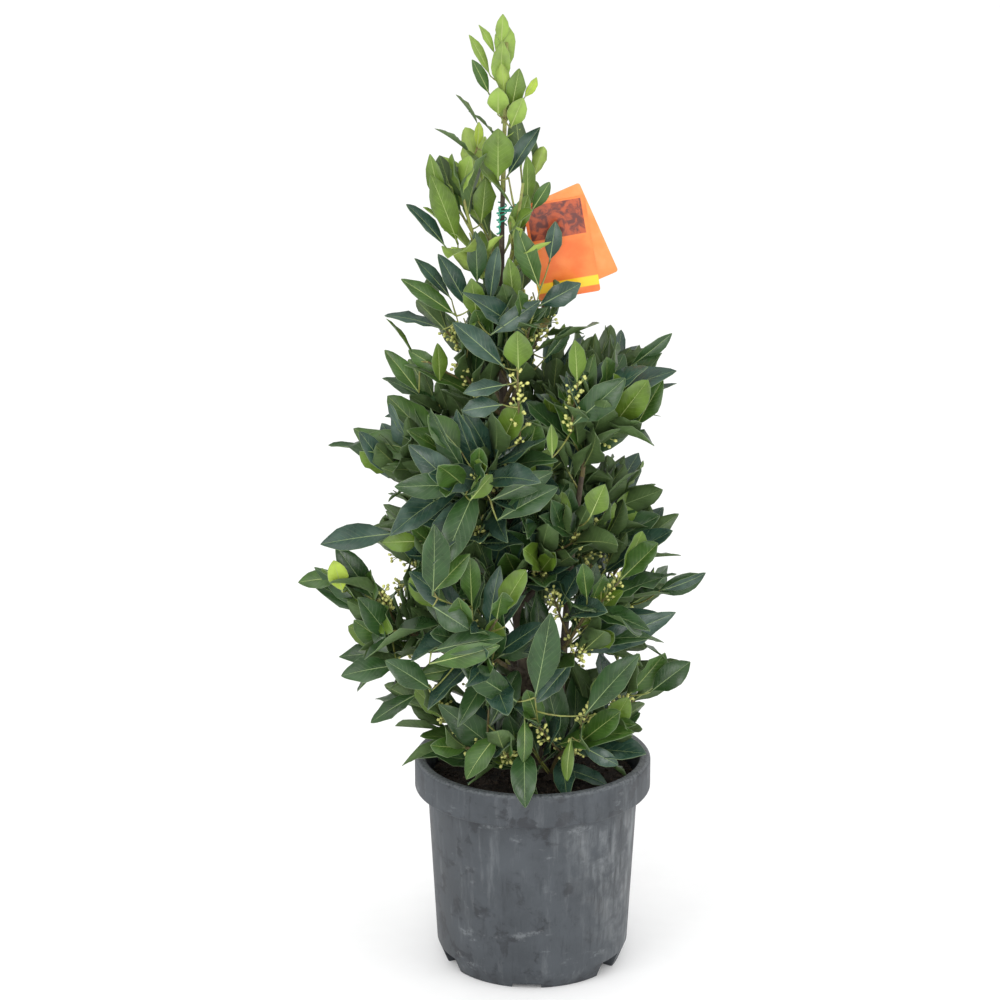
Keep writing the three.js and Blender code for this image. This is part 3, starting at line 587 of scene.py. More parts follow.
class Plant:
    """All that grows: limbs, shoots, leaves and flower buds."""

    def __init__(self, plant, label, stage):
        self.settings = plant
        self.masses = plan_masses()
        self.room = Room(self.masses, label, stage)
        self.shoots, self.leaves, self.buds = [], [], []
        for mass in self.masses:
            self.grow_mass(mass)
        chance = Dice(LONE_SEED)
        for ends in LONE_SHOOTS:
            self.set_lone_shoot(*np.array(ends, float), chance)
        for root, tip, *look in LONE_LEAVES:
            self.set_lone_leaf(*np.array((root, tip), float), *look, chance)

    def grow_mass(self, mass):
        """A mass's shoot, twigs and spurs, and then their leaves."""
        plant, main = self.settings, mass.shoot
        chance = Dice(MASS_SEED + mass.seed)
        counts = (plant.shoot_leaves, plant.twig_leaves, plant.fine_leaves)
        main.leaves, twig_leaves, fine_leaves = (round(count * mass.full) for count in counts)
        shoots = [main]
        if mass.tier != "leader":
            twigs = self.grow_twigs(main, chance, SIDE_TWIGS, twig_leaves, TWIG)
            shoots += twigs
            shoots += self.grow_spurs(mass, chance, fine_leaves + 1)
            if mass.full > FULL_MASS:
                shoots += self.grow_twigs(main, chance, FINE_TWIGS, fine_leaves, FINE)
                for twig in twigs:
                    shoots += self.grow_twigs(twig, chance, TWIG_FORKS, fine_leaves, FINE)
        for shoot in shoots:
            self.shoots.append(shoot)
            self.grow_leaves(shoot, chance)

    def grow_twigs(self, shoot, chance, rule, leaves, order):
        """Side twigs round a shoot."""
        count, angle, length, first, last = rule
        turn = chance.between(0, 2 * math.pi)
        twigs = []
        for i in range(count):
            share = i / max(count - 1, 1)
            seat = shoot.seat(blend(max(first, shoot.bare), last, share))
            along = branch_off(seat, math.radians(angle), turn + i * GOLDEN_ANGLE)
            reach = shoot.size * length * chance.about(1, TWIG_SPREAD)
            twigs += self.grow_twig(shoot.mass, seat[0], along + UP * TWIG_LIFT, reach, leaves, order)
        return twigs

    def grow_spurs(self, mass, chance, leaves):
        """Short leafy spurs on the outer part of a mass's own limb."""
        spurs = []
        for i in range(SPURS if mass.split else 0):
            seat = mass.line.seat(mass.split * blend(*SPUR_PLACES, i / (SPURS - 1)))
            along = branch_off(seat, math.radians(SPUR_ANGLE), chance.between(0, 2 * math.pi))
            reach = mass.size * SPUR_LENGTH * chance.about(1, SPUR_SPREAD)
            spurs += self.grow_twig(mass, seat[0], along + UP * SPUR_LIFT, reach, leaves, FINE)
        return spurs

    def grow_twig(self, mass, root, towards, reach, leaves, order):
        """One twig, or none where it would leave the mass's space or meet something."""
        along = unit(towards)
        bend = root + along * reach * TWIG_BEND - UP * reach * TWIG_SAG
        curve = Curve(root, bend, root + along * reach + UP * reach * TWIG_RISE)
        radii = TWIG_RADII if order == TWIG else FINE_RADII
        twig = Shoot(mass, curve, 0, BARE_TWIG, leaves, mass.size, radii, order)
        line = twig.line(4)[1:]
        clear = (self.room.in_space(line[-1:], mass, TWIG_MARGIN)
                 and not self.room.in_pot(line, TWIG_SOIL_ROOM)
                 and not self.room.meets_limb(line[1:], mass, TWIG_LIMB_ROOM))
        return [twig] if clear else []

    def grow_leaves(self, shoot, chance):
        """Leaves in a spiral: long and spread below, and short upright ones at the shoot's end,
        with flower buds in the axils between."""
        plant, mass = self.settings, shoot.mass
        young, shady = mass.tier in YOUNG_TIERS, mass.tier in SHADY_TIERS
        leading = mass.tier == "leader"
        flush = chance.roll() < (YOUNG_FLUSH if young else plant.flush * (SHADY_FLUSH if shady else 1))
        base = chance.pick(YOUNG_TONES if young else SHADY_TONES if shady else SUNNY_TONES)
        base = LIGHT if leading else base
        tip_tones = (YOUNG_TIPS if young else FLUSH_TIPS) if flush else OLD_TIPS
        tips = 0 if leading else 1 if shoot.order == FINE else 2
        spread = max(shoot.leaves - tips, 1)
        turn = chance.between(0, 2 * math.pi)
        last = LEADER_LAST if leading else LAST_LEAF
        for i in range(shoot.leaves):
            turn += GOLDEN_ANGLE + math.radians(chance.about(0, TURN_SPREAD))
            if i < spread:
                youth = i / spread
                seat = shoot.seat(blend(shoot.bare, last, youth))
                lean = chance.about(blend(*LEAN[mass.tier], youth), LEAN_SPREAD)
                length = plant.leaf_length * blend(1, HIGH_LEAF, youth)
                tone = min(max(base + chance.pick(TONE_STEPS), DEEP), YELLOW)
            else:
                youth = 1
                seat = shoot.seat(TIP_PLACE - TIP_STEP * (shoot.leaves - 1 - i))
                lean = chance.about(TIP_LEAN, TIP_SPREAD)
                length = plant.tip_length
                tone = chance.pick(tip_tones)
            self.set_leaf(shoot, seat, turn, lean, length, tone, youth, chance)
        if shoot.order < FINE and not young and chance.roll() < plant.flowering:
            for i in range(plant.bud_axils):
                turn += GOLDEN_ANGLE
                seat = shoot.seat(blend(*BUD_PLACES, i / plant.bud_axils))
                self.buds.append((seat, turn, chance.roll()))

    def set_leaf(self, shoot, seat, turn, lean, length, tone, youth, chance):
        """One leaf, tried shorter where it has no room, and left out where none fits."""
        place, stem = seat[:2]
        along = unit(branch_off(seat, math.radians(lean), turn) + UP * LIFT[shoot.mass.tier])
        outwards = place - trunk_at(min(place[2], TRUNK_TIP))
        outwards = outwards / (np.linalg.norm(outwards) + OUTWARD_EASE)
        facing = stem * FACE_STEM + UP * FACE_UP + outwards * FACE_OUT
        normal = unit(facing - along * (facing @ along))
        roll = math.radians(chance.about(0, ROLL_SPREAD))
        normal = normal * math.cos(roll) + np.cross(along, normal) * math.sin(roll)
        length = shoot.size * length * chance.about(1, LENGTH_SPREAD) / MM
        root = place + (along - stem * (along @ stem)) * shoot.radii[1] * STALK_SEAT
        leaf = Leaf(root, along, normal, length, chance, youth, tone)
        half = leaf.half
        for trim in TRIMS:
            leaf.length, leaf.half = length * trim, half * trim
            points = leaf.probe()
            if (self.room.in_space(points, shoot.mass, LEAF_MARGIN)
                    and not self.room.in_pot(points, LEAF_SOIL_ROOM)
                    and not self.room.in_opening(points)
                    and not self.room.meets_limb(points, shoot.mass, LEAF_LIMB_ROOM)):
                self.leaves.append(leaf)
                break

    def reach_out(self, root):
        """A fine twig to a place from the nearest shoot, and the mass that it belongs to."""
        steps = 8
        spots = np.concatenate([shoot.line(steps)[1:] for shoot in self.shoots])
        nearest = int(np.linalg.norm(spots - root, axis=1).argmin())
        spot, mass = spots[nearest], self.shoots[nearest // steps].mass
        bend = (spot + root) / 2 - UP * np.linalg.norm(root - spot) * THREAD_SAG
        self.shoots.append(Shoot(mass, Curve(spot, bend, root), 0, 0, 0, 1, THREAD_RADII, FINE))
        return mass

    def set_lone_shoot(self, foot, tip, chance):
        """One shoot from its foot to its tip, full of flower buds."""
        mass = self.reach_out(foot)
        shoot = Shoot(mass, Curve(foot, (foot + tip) / 2, tip), 0, 0, 0, 1, TWIG_RADII, TWIG)
        self.shoots.append(shoot)
        axils = self.settings.bud_axils + LONE_BUDS
        for i in range(axils):
            self.buds.append((shoot.seat(i / axils), i * GOLDEN_ANGLE, chance.roll()))

    def set_lone_leaf(self, root, tip, half, tone, turn, bow, chance):
        """One leaf from its root to its tip, on a fine twig from the nearest shoot."""
        self.reach_out(root)
        reach = np.linalg.norm(tip - root)
        ahead = (tip - root) / reach
        facing = VIEWER + UP * FACE_UP
        facing = unit(facing - ahead * (facing @ ahead))
        facing = facing * math.cos(turn) + np.cross(ahead, facing) * math.sin(turn)
        along = ahead * math.cos(bow / 2) + facing * math.sin(bow / 2)
        normal = facing * math.cos(bow / 2) - ahead * math.sin(bow / 2)
        length = reach * bow / 2 / math.sin(bow / 2)
        leaf = Leaf(root, along, normal, length, chance, LONE_YOUTH, tone)
        leaf.half, leaf.droop, leaf.twist, leaf.wave = half, bow, 0, leaf.wave * LONE_WAVE
        self.leaves.append(leaf)


# Meshes from arrays, for what repeats or follows a line of growth


class Heap:
    """Many small shapes that become one mesh."""

    def __init__(self):
        self.points, self.faces, self.parts, self.charts, self.count = [], [], [], [], 0

    def add(self, points, faces, parts, chart=None):
        self.points.append(points)
        self.faces += [tuple(corner + self.count for corner in face) for face in faces]
        self.parts.append(np.broadcast_to(parts, (len(faces),)))
        self.charts.append(np.zeros((len(points), 2)) if chart is None else chart)
        self.count += len(points)

    def add_tube(self, points, radii, sides, part, relief=None):
        points, faces, chart = tube(points, radii, sides, relief)
        self.add(points, faces, part, chart)

    def build(self, name, finishes):
        mesh = bpy.data.meshes.new(name)
        mesh.from_pydata(np.concatenate(self.points) * MM, [], self.faces)
        mesh.polygons.foreach_set("material_index", np.concatenate(self.parts).astype(np.int32))
        mesh.polygons.foreach_set("use_smooth", np.ones(len(self.faces), bool))
        corners = np.empty(len(mesh.loops), np.int32)
        mesh.loops.foreach_get("vertex_index", corners)
        chart = mesh.uv_layers.new(name="chart")
        chart.data.foreach_set("uv", np.concatenate(self.charts)[corners].astype(np.float32).ravel())
        for finish in finishes:
            mesh.materials.append(finish.material)
        mesh.validate()
        thing = bpy.data.objects.new(name, mesh)
        bpy.context.scene.collection.objects.link(thing)
        return thing


def ring_faces(rings, sides):
    """Faces of a closed stack of rings, whose corners are numbered ring by ring."""
    faces = []
    for foot in range(0, (rings - 1) * sides, sides):
        for k in range(sides):
            after = (k + 1) % sides
            faces.append((foot + k, foot + after, foot + sides + after, foot + sides + k))
    faces.append(tuple(reversed(range(sides))))
    faces.append(tuple((rings - 1) * sides + k for k in range(sides)))
    return faces


def square_to(direction):
    """A direction square to another."""
    return unit(np.cross(direction, UP if abs(direction[2]) < UPRIGHT else RIGHT))


CHART_REACH = 100


def tube(points, radii, sides, relief=None):
    """A closed round limb along points: its own points, faces and chart."""
    along = unit(np.gradient(points, axis=0))
    across = np.empty_like(points)
    side = square_to(along[0])
    for i, direction in enumerate(along):
        side = unit(side - direction * (side @ direction))
        across[i] = side
    out = np.cross(along, across)
    turns = np.arange(sides) * 2 * math.pi / sides
    walked = np.concatenate(([0], np.linalg.norm(np.diff(points, axis=0), axis=1).cumsum()))
    reach = np.repeat(np.asarray(radii, float)[:, None], sides, axis=1)
    if relief is not None:
        reach = reach * relief(walked[:, None], turns[None, :])
    cos, sin = (wave(turns)[None, :, None] for wave in (np.cos, np.sin))
    spokes = across[:, None] * cos + out[:, None] * sin
    rings = points[:, None] + spokes * reach[:, :, None]
    chart = np.column_stack(
        (np.tile(turns / (2 * math.pi), len(points)), np.repeat(walked / CHART_REACH, sides))
    )
    return rings.reshape(-1, 3), ring_faces(len(points), sides), chart


RELIEF_WAVES, RELIEF_PACES, RELIEF_FOLDS = 9, (0.05, 0.35), (1, 6)
RELIEF_PHASE, RELIEF_HEIGHTS = 6.3, (0.012, 0.03)


def bark_relief(chance):
    """Shallow ridges, knots and swellings over a limb, as a factor on its radius."""
    waves = [
        (chance.between(*RELIEF_PACES), int(chance.between(*RELIEF_FOLDS)),
         chance.between(0, RELIEF_PHASE), chance.between(*RELIEF_HEIGHTS))
        for _ in range(RELIEF_WAVES)
    ]

    def relief(walked, turns):
        total = np.ones(np.broadcast_shapes(walked.shape, turns.shape))
        for pace, folds, phase, height in waves:
            total = total + height * np.sin(walked * pace + phase) * np.cos(folds * turns + phase)
        return total

    return relief


BUD_RINGS, BUD_SIDES, BUD_STRETCH, BUD_LEANS, BUD_TIP = 4, 6, 1.12, (-0.46, 0.5), 0.03


def bead(centre, radius, axis):
    """A small round bud, a little longer than wide."""
    seat = square_to(axis)
    turns = np.arange(BUD_SIDES) * 2 * math.pi / BUD_SIDES
    ring = np.cos(turns)[:, None] * seat + np.sin(turns)[:, None] * np.cross(axis, seat)
    layers = [
        centre + radius * (BUD_STRETCH * math.sin(lean) * axis + max(math.cos(lean), BUD_TIP) * ring)
        for lean in np.linspace(*BUD_LEANS, BUD_RINGS) * math.pi
    ]
    return np.concatenate(layers), ring_faces(BUD_RINGS, BUD_SIDES)


CRUMB_ROUGH, CRUMB_SIZE, CRUMB_SPREAD, CRUMB_FLAT = 0.45, 0.95, 0.25, 0.72


def crumb(centre, radius, chance):
    """A rough lump of compost."""
    corners = np.array([(x, y, z) for x in (-1, 1) for y in (-1, 1) for z in (-1, 1)], float)
    corners += np.array([[chance.about(0, CRUMB_ROUGH) for _ in range(3)] for _ in range(8)])
    reach = np.array([[radius * chance.about(CRUMB_SIZE, CRUMB_SPREAD)] for _ in range(8)])
    corners = unit(corners) * reach
    turn = chance.between(0, math.pi)
    cos, sin = math.cos(turn), math.sin(turn)
    spin = np.array(((cos, -sin, 0), (sin, cos, 0), (0, 0, CRUMB_FLAT)))
    faces = [(0, 1, 3, 2), (4, 6, 7, 5), (0, 4, 5, 1), (2, 3, 7, 6), (0, 2, 6, 4), (1, 5, 7, 3)]
    return corners @ spin.T + centre, faces


# Finishes


def linear(*levels):
    """Screen colour, 0 to 255, as light."""
    shares = [level / 255 for level in levels]
    return tuple(s / 12.92 if s <= 0.04045 else ((s + 0.055) / 1.055) ** 2.4 for s in shares)


class Socket:
    """A node's output, with arithmetic that adds Math nodes."""

    def __init__(self, finish, output):
        self.finish, self.output = finish, output

    def math(self, operation, *others):
        return self.finish.maths(operation, self, *others)

    def __add__(self, other):
        return self.math("ADD", other)

    def __sub__(self, other):
        return self.math("SUBTRACT", other)

    def __rsub__(self, other):
        return self.finish.maths("SUBTRACT", other, self)

    def __mul__(self, other):
        return self.math("MULTIPLY", other)

    __radd__, __rmul__ = __add__, __mul__


class Finish:
    """One procedural material."""

    def __init__(self, name):
        self.material = bpy.data.materials.new(name)
        self.material.use_nodes = True
        self.tree = self.material.node_tree
        self.shader = self.tree.nodes["Principled BSDF"]

    def node(self, kind, settings=None, sockets=None, output=0):
        """Any node: its type, its settings, then the values or links of its sockets."""
        node = self.tree.nodes.new(kind)
        for key, value in (settings or {}).items():
            setattr(node, key, value)
        self.connect(node, sockets or {})
        return Socket(self, node.outputs[output])

    def connect(self, node, sockets):
        for key, value in sockets.items():
            if isinstance(value, Socket):
                self.tree.links.new(value.output, node.inputs[key])
            elif isinstance(value, (int, float, str)):
                node.inputs[key].default_value = value
            else:
                whole = tuple(value)
                wanted = len(node.inputs[key].default_value)
                node.inputs[key].default_value = whole + (1.0,) * (wanted - len(whole))

    def maths(self, operation, *values):
        return self.node("ShaderNodeMath", {"operation": operation}, dict(enumerate(values)))

    def place(self):
        return self.node("ShaderNodeTexCoord", output="Object")

    def split(self, vector, *axes):
        return [self.node("ShaderNodeSeparateXYZ", None, {"Vector": vector}, axis) for axis in axes]

    def chart(self, name="chart"):
        """Places across and along on the piece's own map, each from 0 to 1."""
        return self.split(self.node("ShaderNodeUVMap", {"uv_map": name}), "X", "Y")

    def stretched(self, scale):
        return self.node("ShaderNodeMapping", None, {"Vector": self.place(), "Scale": scale})

    def noise(self, scale, detail=4, where=None, rough=0.55, warp=0):
        return self.node(
            "ShaderNodeTexNoise",
            None,
            {"Vector": where or self.place(), "Scale": scale, "Detail": detail,
             "Roughness": rough, "Distortion": warp},
        )

    def fade(self, value, low, high, first=0.0, last=1.0):
        """A value eased from one level to another between two limits."""
        return self.node(
            "ShaderNodeMapRange",
            {"interpolation_type": "SMOOTHSTEP"},
            {"Value": value, "From Min": low, "From Max": high, "To Min": first, "To Max": last},
        )

    def within(self, value, low, high, soft):
        """One between two limits and nothing outside them, with soft edges."""
        rise = self.fade(value, low - soft, low + soft)
        return rise * self.fade(value, high - soft, high + soft, 1, 0)

    def mix(self, share, first, second):
        return self.node("ShaderNodeMix", {"data_type": "RGBA"}, {0: share, 6: first, 7: second}, 2)

    def bump(self, height, strength, distance):
        return self.node(
            "ShaderNodeBump", None, {"Height": height, "Strength": strength, "Distance": distance}
        )

    def surface(self, **sockets):
        """Sets the shader's own sockets, named with underscores for spaces."""
        named = {key.replace("_", " "): value for key, value in sockets.items()}
        self.connect(self.shader, named)
        return self


def shaded(colour, factor):
    return tuple(min(1.0, channel * factor) for channel in colour)


def pot_plastic(pot):
    """Weathered grey plastic: dusty clouds, faint runs, dark scuffs, a right side paled partly by wear
    and partly by a painted highlight, a painted highlight along the rim's top, and blotches darker
    towards the foot.
    """
    finish = Finish("weathered_pot_plastic")
    clouds = finish.noise(13, 8, rough=0.7)
    runs = finish.noise(1, 6, finish.stretched((70, 70, 11)), 0.68)
    blots = finish.noise(46, 6, rough=0.62, warp=0.35)
    smears = finish.noise(1, 4, finish.stretched((24, 24, 60)), 0.6)
    specks = finish.noise(340, 3)
    x, z = finish.split(finish.place(), "X", "Z")
    base = finish.mix(finish.fade(clouds, 0.34, 0.66), pot.plastic, pot.dust)
    base = finish.mix(finish.fade(runs, 0.52, 0.76, 0, 0.34), base, pot.chalk)
    base = finish.mix(finish.fade(runs, 0.46, 0.30, 0, 0.55), base, pot.scuff)
    patches = finish.fade(blots, 0.53, 0.62) * finish.fade(clouds, 0.60, 0.44)
    base = finish.mix(patches * 0.9, base, pot.scuff)
    smeared = finish.fade(smears, 0.60, 0.72) * finish.fade(specks, 0.35, 0.6, 0, 0.5)
    base = finish.mix(smeared, base, pot.chalk)
    # Paler right side, drawn toward the chalk colour in blotches and runs: partly wear, partly a
    # painted highlight where the light falls
    highlight_side = finish.fade(x + (z - 0.12) * 0.3, 0.030, 0.085)
    collar_foot = pot.height - pot.collar
    wall = finish.fade(z, collar_foot - 0.03, collar_foot, 1, 0.15)
    worn_and_highlight = highlight_side * wall * finish.fade(blots, 0.32, 0.66) * finish.fade(runs, 0.32, 0.62)
    base = finish.mix(worn_and_highlight * 0.85, base, pot.chalk)
    # Painted highlight: a pale band, flecked by the specks, along the rim's rounded top edge
    lip = finish.fade(z, pot.height - 0.0035, pot.height - 0.0008) * finish.fade(specks, 0.3, 0.6)
    base = finish.mix(lip * 0.5, base, pot.chalk)
    # Blotches darker towards the foot
    darker_foot = finish.fade(z, 0.024, 0.0, 0, 0.6) * finish.fade(blots, 0.40, 0.58)
    base = finish.mix(darker_foot, base, pot.scuff)
    height = runs * 0.4 + specks * 0.3 + clouds * 0.7
    return finish.surface(
        Base_Color=base,
        Roughness=finish.fade(clouds, 0.3, 0.7, 0.50, 0.72),
        Normal=finish.bump(height, 0.3, 0.001),
    )


def compost_crumble(soil, name, lift):
    """Dark damp compost with paler fibres."""
    finish = Finish(name)
    lumps = finish.noise(90, 6, rough=0.65)
    fibres = finish.noise(1, 4, finish.stretched((260, 60, 160)))
    base = finish.mix(finish.fade(lumps, 0.35, 0.7), shaded(soil.damp, lift), shaded(soil.dry, lift))
    base = finish.mix(finish.fade(fibres, 0.62, 0.76, 0, 0.6), base, soil.fibre)
    return finish.surface(
        Base_Color=base,
        Roughness=0.95,
        Specular_IOR_Level=0.2,
        Normal=finish.bump(lumps + fibres * 0.5, 0.9, 0.004),
    )


def bark_skin(name, colour, pale, scale):
    """Smooth grey-brown bark with fine streaks and pale breathing spots."""
    finish = Finish(name)
    streaks = finish.noise(1, 5, finish.stretched((scale, scale, scale * 0.16)), 0.6)
    spots = finish.noise(scale * 1.3, 2)
    patches = finish.noise(45, 3)
    base = finish.mix(finish.fade(streaks, 0.35, 0.68), shaded(colour, 0.6), colour)
    base = finish.mix(finish.fade(patches, 0.45, 0.65, 0, 0.55), base, pale)
    base = finish.mix(finish.fade(spots, 0.66, 0.74, 0, 0.6), base, pale)
    return finish.surface(
        Base_Color=base,
        Roughness=finish.fade(streaks, 0.3, 0.7, 0.85, 0.65),
        Normal=finish.bump(streaks + spots * 0.4, 0.6, 0.0015),
    )


def side_veins(finish):
    """Veins that slant from the rib to the edge, fading outwards."""
    across, along = finish.chart()
    aside = (across - 0.5).math("ABSOLUTE") * 2
    ladder = (along * 11 - aside * 2.6).math("PINGPONG", 0.5)
    return finish.fade(ladder, 0.0, 0.11, 1, 0) * finish.fade(aside, 0.05, 0.5, 1, 0.35)


# Pale blue-grey of the painted sheen: the sky's reflection on glossy leaves, painted into their colour
PAINTED_SHEEN = linear(122, 143, 130)


def blade_skin(name, colour, vein, gloss, sheen_share):
    """Leathery upper face: clouded green with clouds of painted sheen, paler side veins and a soft
    gloss.
    """
    finish = Finish(name)
    veins = side_veins(finish)
    clouds = finish.noise(55, 3)
    grain = finish.noise(700, 2)
    base = finish.mix(finish.fade(clouds, 0.3, 0.7), shaded(colour, 0.78), shaded(colour, 1.22))
    # Painted sheen: clouds of the sky's pale reflection mixed into the colour
    base = finish.mix(finish.fade(finish.noise(24, 3), 0.48, 0.72, 0, sheen_share), base, PAINTED_SHEEN)
    base = finish.mix(veins * 0.22, base, vein)
    return finish.surface(
        Base_Color=base,
        Roughness=finish.fade(clouds, 0.3, 0.7, gloss - 0.05, gloss + 0.07),
        Specular_IOR_Level=0.38,
        Normal=finish.bump(grain * 0.3 - veins, 0.3, 0.0005),
    )


def blade_back(name, colour, vein):
    """Paler matt underside with raised side veins."""
    finish = Finish(name)
    veins = side_veins(finish)
    clouds = finish.noise(70, 3)
    base = finish.mix(finish.fade(clouds, 0.3, 0.7), shaded(colour, 0.85), shaded(colour, 1.12))
    base = finish.mix(veins * 0.22, base, vein)
    return finish.surface(
        Base_Color=base,
        Roughness=finish.fade(clouds, 0.3, 0.7, 0.52, 0.64),
        Normal=finish.bump(veins + finish.noise(500, 2) * 0.3, 0.25, 0.0005),
    )


def stalk_skin(name, colour, blush):
    """Waxy rib, margin or stalk, with a blush along it."""
    finish = Finish(name)
    tint = finish.noise(120, 3)
    base = finish.mix(finish.fade(tint, 0.4, 0.72), colour, blush)
    return finish.surface(
        Base_Color=base,
        Roughness=finish.fade(tint, 0.3, 0.7, 0.42, 0.55),
        Normal=finish.bump(finish.noise(600, 2), 0.15, 0.0004),
    )


# Places of the print on the front card, as shares of its width and length
PANEL_ACROSS, PANEL_UP, BAND_UP, PRINT_EDGE = (0.05, 0.93), (0.62, 0.985), (0.07, 0.17), 0.006


def printed_card(name, label, plain):
    """Coated orange card. The front one has a bare picture panel and a yellow band."""
    finish = Finish(name)
    across, up = finish.chart("UVMap")
    sheen = finish.noise(38, 3)
    shade = label.card_pale if plain else label.card_deep
    base = finish.mix(finish.fade(sheen, 0.3, 0.7), label.card, shade)
    if not plain:
        panel = finish.within(across, *PANEL_ACROSS, PRINT_EDGE)
        panel = panel * finish.within(up, *PANEL_UP, PRINT_EDGE)
        shades = finish.noise(85, 4, warp=1.2)
        picture = finish.mix(finish.fade(shades, 0.4, 0.62), label.panel, label.panel_warm)
        base = finish.mix(panel, base, picture)
        base = finish.mix(finish.within(up, *BAND_UP, PRINT_EDGE), base, label.band)
    return finish.surface(
        Base_Color=base,
        Roughness=finish.fade(sheen, 0.3, 0.7, 0.3, 0.42),
        Normal=finish.bump(sheen, 0.08, 0.001),
    )


def twist_tie(label):
    """Green plastic over wire."""
    finish = Finish("tie_plastic")
    wear = finish.noise(400, 3)
    base = finish.mix(finish.fade(wear, 0.35, 0.7), label.tie, shaded(label.tie, 1.5))
    return finish.surface(Base_Color=base, Roughness=0.45, Normal=finish.bump(wear, 0.2, 0.0003))


def studio_floor(stage):
    """Matt paper sweep."""
    finish = Finish("studio_paper")
    fibre = finish.noise(30, 4)
    base = finish.mix(finish.fade(fibre, 0.3, 0.7), shaded(stage.floor, 0.985), stage.floor)
    return finish.surface(Base_Color=base, Roughness=0.9, Specular_IOR_Level=0.1)


# Settings


def setting(kind, **limits):
    """A maker of one kind of setting."""
    return lambda name, description, default: kind(
        name=name, description=description, default=default, **limits
    )


length = setting(bpy.props.FloatProperty, min=0, unit="LENGTH", subtype="DISTANCE")
offset = setting(bpy.props.FloatProperty, unit="LENGTH", subtype="DISTANCE")
number = setting(bpy.props.IntProperty, min=0)
factor = setting(bpy.props.FloatProperty, min=0, max=1, subtype="FACTOR")
strength = setting(bpy.props.FloatProperty, min=0)
angle = setting(bpy.props.FloatProperty, unit="ROTATION", subtype="ANGLE")
power = setting(bpy.props.FloatProperty, min=0, unit="POWER")
focal = setting(bpy.props.FloatProperty, unit="CAMERA")
tint = setting(bpy.props.FloatVectorProperty, size=3, min=0, max=1, subtype="COLOR")


def colour(name, description, *levels):
    return tint(name, description, linear(*levels))


class BayPot(bpy.types.PropertyGroup):
    """Sizes and colours of the pot"""

    height: length("Height", "From the floor to the rim", 0.238)
    rim_radius: length("Rim radius", "Outside of the collar", 0.130)
    lip: length("Lip", "Width of the rim's level top", 0.012)
    collar: length("Collar", "Depth of the collar below the rim", 0.037)
    body_top: length("Body top radius", "Outside of the wall under the collar", 0.116)
    body_foot: length("Body foot radius", "Outside of the wall over the chamfer", 0.106)
    chamfer: length("Chamfer", "Height of the sloping foot", 0.022)
    foot: length("Foot radius", "Outside of the ring that it stands on", 0.097)
    wall: length("Wall", "Thickness of the plastic", 0.003)
    front_notch: length("Front notch", "Height of the arch at the front of the foot", 0.005)
    notch: length("Notches", "Height of the other drain arches", 0.018)
    edge: length("Edge", "Rounding of the moulded edges", 0.0013)
    facets: number("Facets", "Sides of the turned wall", 128)
    plastic: colour("Plastic", "Clean wall", 48, 53, 58)
    dust: colour("Dust", "Dusty wall", 66, 71, 76)
    # The chalk colour also paints the highlights on the right side and along the rim
    chalk: colour("Chalk", "Runs and worn places", 118, 122, 125)
    scuff: colour("Scuff", "Dark marks", 34, 37, 42)


class BaySoil(bpy.types.PropertyGroup):
    """Size and colours of the compost"""

    top: length("Top", "Height of the compost's middle", 0.214)
    radius: length("Radius", "Out to the pot's inside", 0.1125)
    drop: length("Drop", "Fall from the middle to the edge", 0.007)
    lumps: length("Lumps", "Height of the broad unevenness", 0.007)
    crumbs: number("Crumbs", "Loose lumps on the compost", 620)
    damp: colour("Damp", "Damp compost", 31, 27, 24)
    dry: colour("Dry", "Dry compost", 60, 51, 43)
    fibre: colour("Fibre", "Bits of bark and straw", 112, 92, 70)


class BayPlant(bpy.types.PropertyGroup):
    """Leaves, twigs and colours of the plant"""

    leaf_length: length("Leaf length", "Leaves low on a shoot", 0.104)
    tip_length: length("Tip leaf length", "Leaves at a shoot's end", 0.060)
    shoot_leaves: number("Shoot leaves", "Leaves on a main shoot", 12)
    twig_leaves: number("Twig leaves", "Leaves on a side twig", 6)
    fine_leaves: number("Fine twig leaves", "Leaves on a fine twig", 5)
    flush: factor("Flush", "Share of the shoots whose ends are young", 0.6)
    flowering: factor("Flowering", "Share of the shoots and twigs that carry buds", 0.85)
    bud_axils: number("Bud axils", "Clusters of buds on a flowering shoot", 9)
    deep: colour("Deep", "Oldest leaves", 38, 64, 51)
    dark: colour("Dark", "Old leaves", 41, 69, 32)
    green: colour("Green", "Grown leaves", 57, 87, 31)
    fresh: colour("Fresh", "Leaves of the last year", 85, 111, 33)
    light: colour("Light", "Young leaves", 121, 147, 61)
    yellow: colour("Yellow", "Youngest leaves", 148, 170, 60)
    underside: colour("Underside", "Backs of grown leaves", 70, 93, 48)
    young_back: colour("Young underside", "Backs of young leaves", 142, 166, 74)
    rib: colour("Rib", "Midribs and stalks of young leaves", 156, 171, 102)
    old_rib: colour("Old rib", "Midribs and stalks of grown leaves", 130, 150, 98)
    margin: colour("Margin", "Edges of the young blades", 140, 156, 100)
    old_margin: colour("Old margin", "Edges of the grown blades", 104, 124, 84)
    bud: colour("Bud", "Flower buds", 206, 208, 122)
    bark: colour("Bark", "Trunk and boughs", 72, 61, 49)
    bark_pale: colour("Pale bark", "Patches on the bark", 100, 90, 72)
    twig: colour("Twig", "Leafy shoots", 108, 96, 54)
    twig_green: colour("Green twig", "Young ends of the shoots", 132, 140, 70)


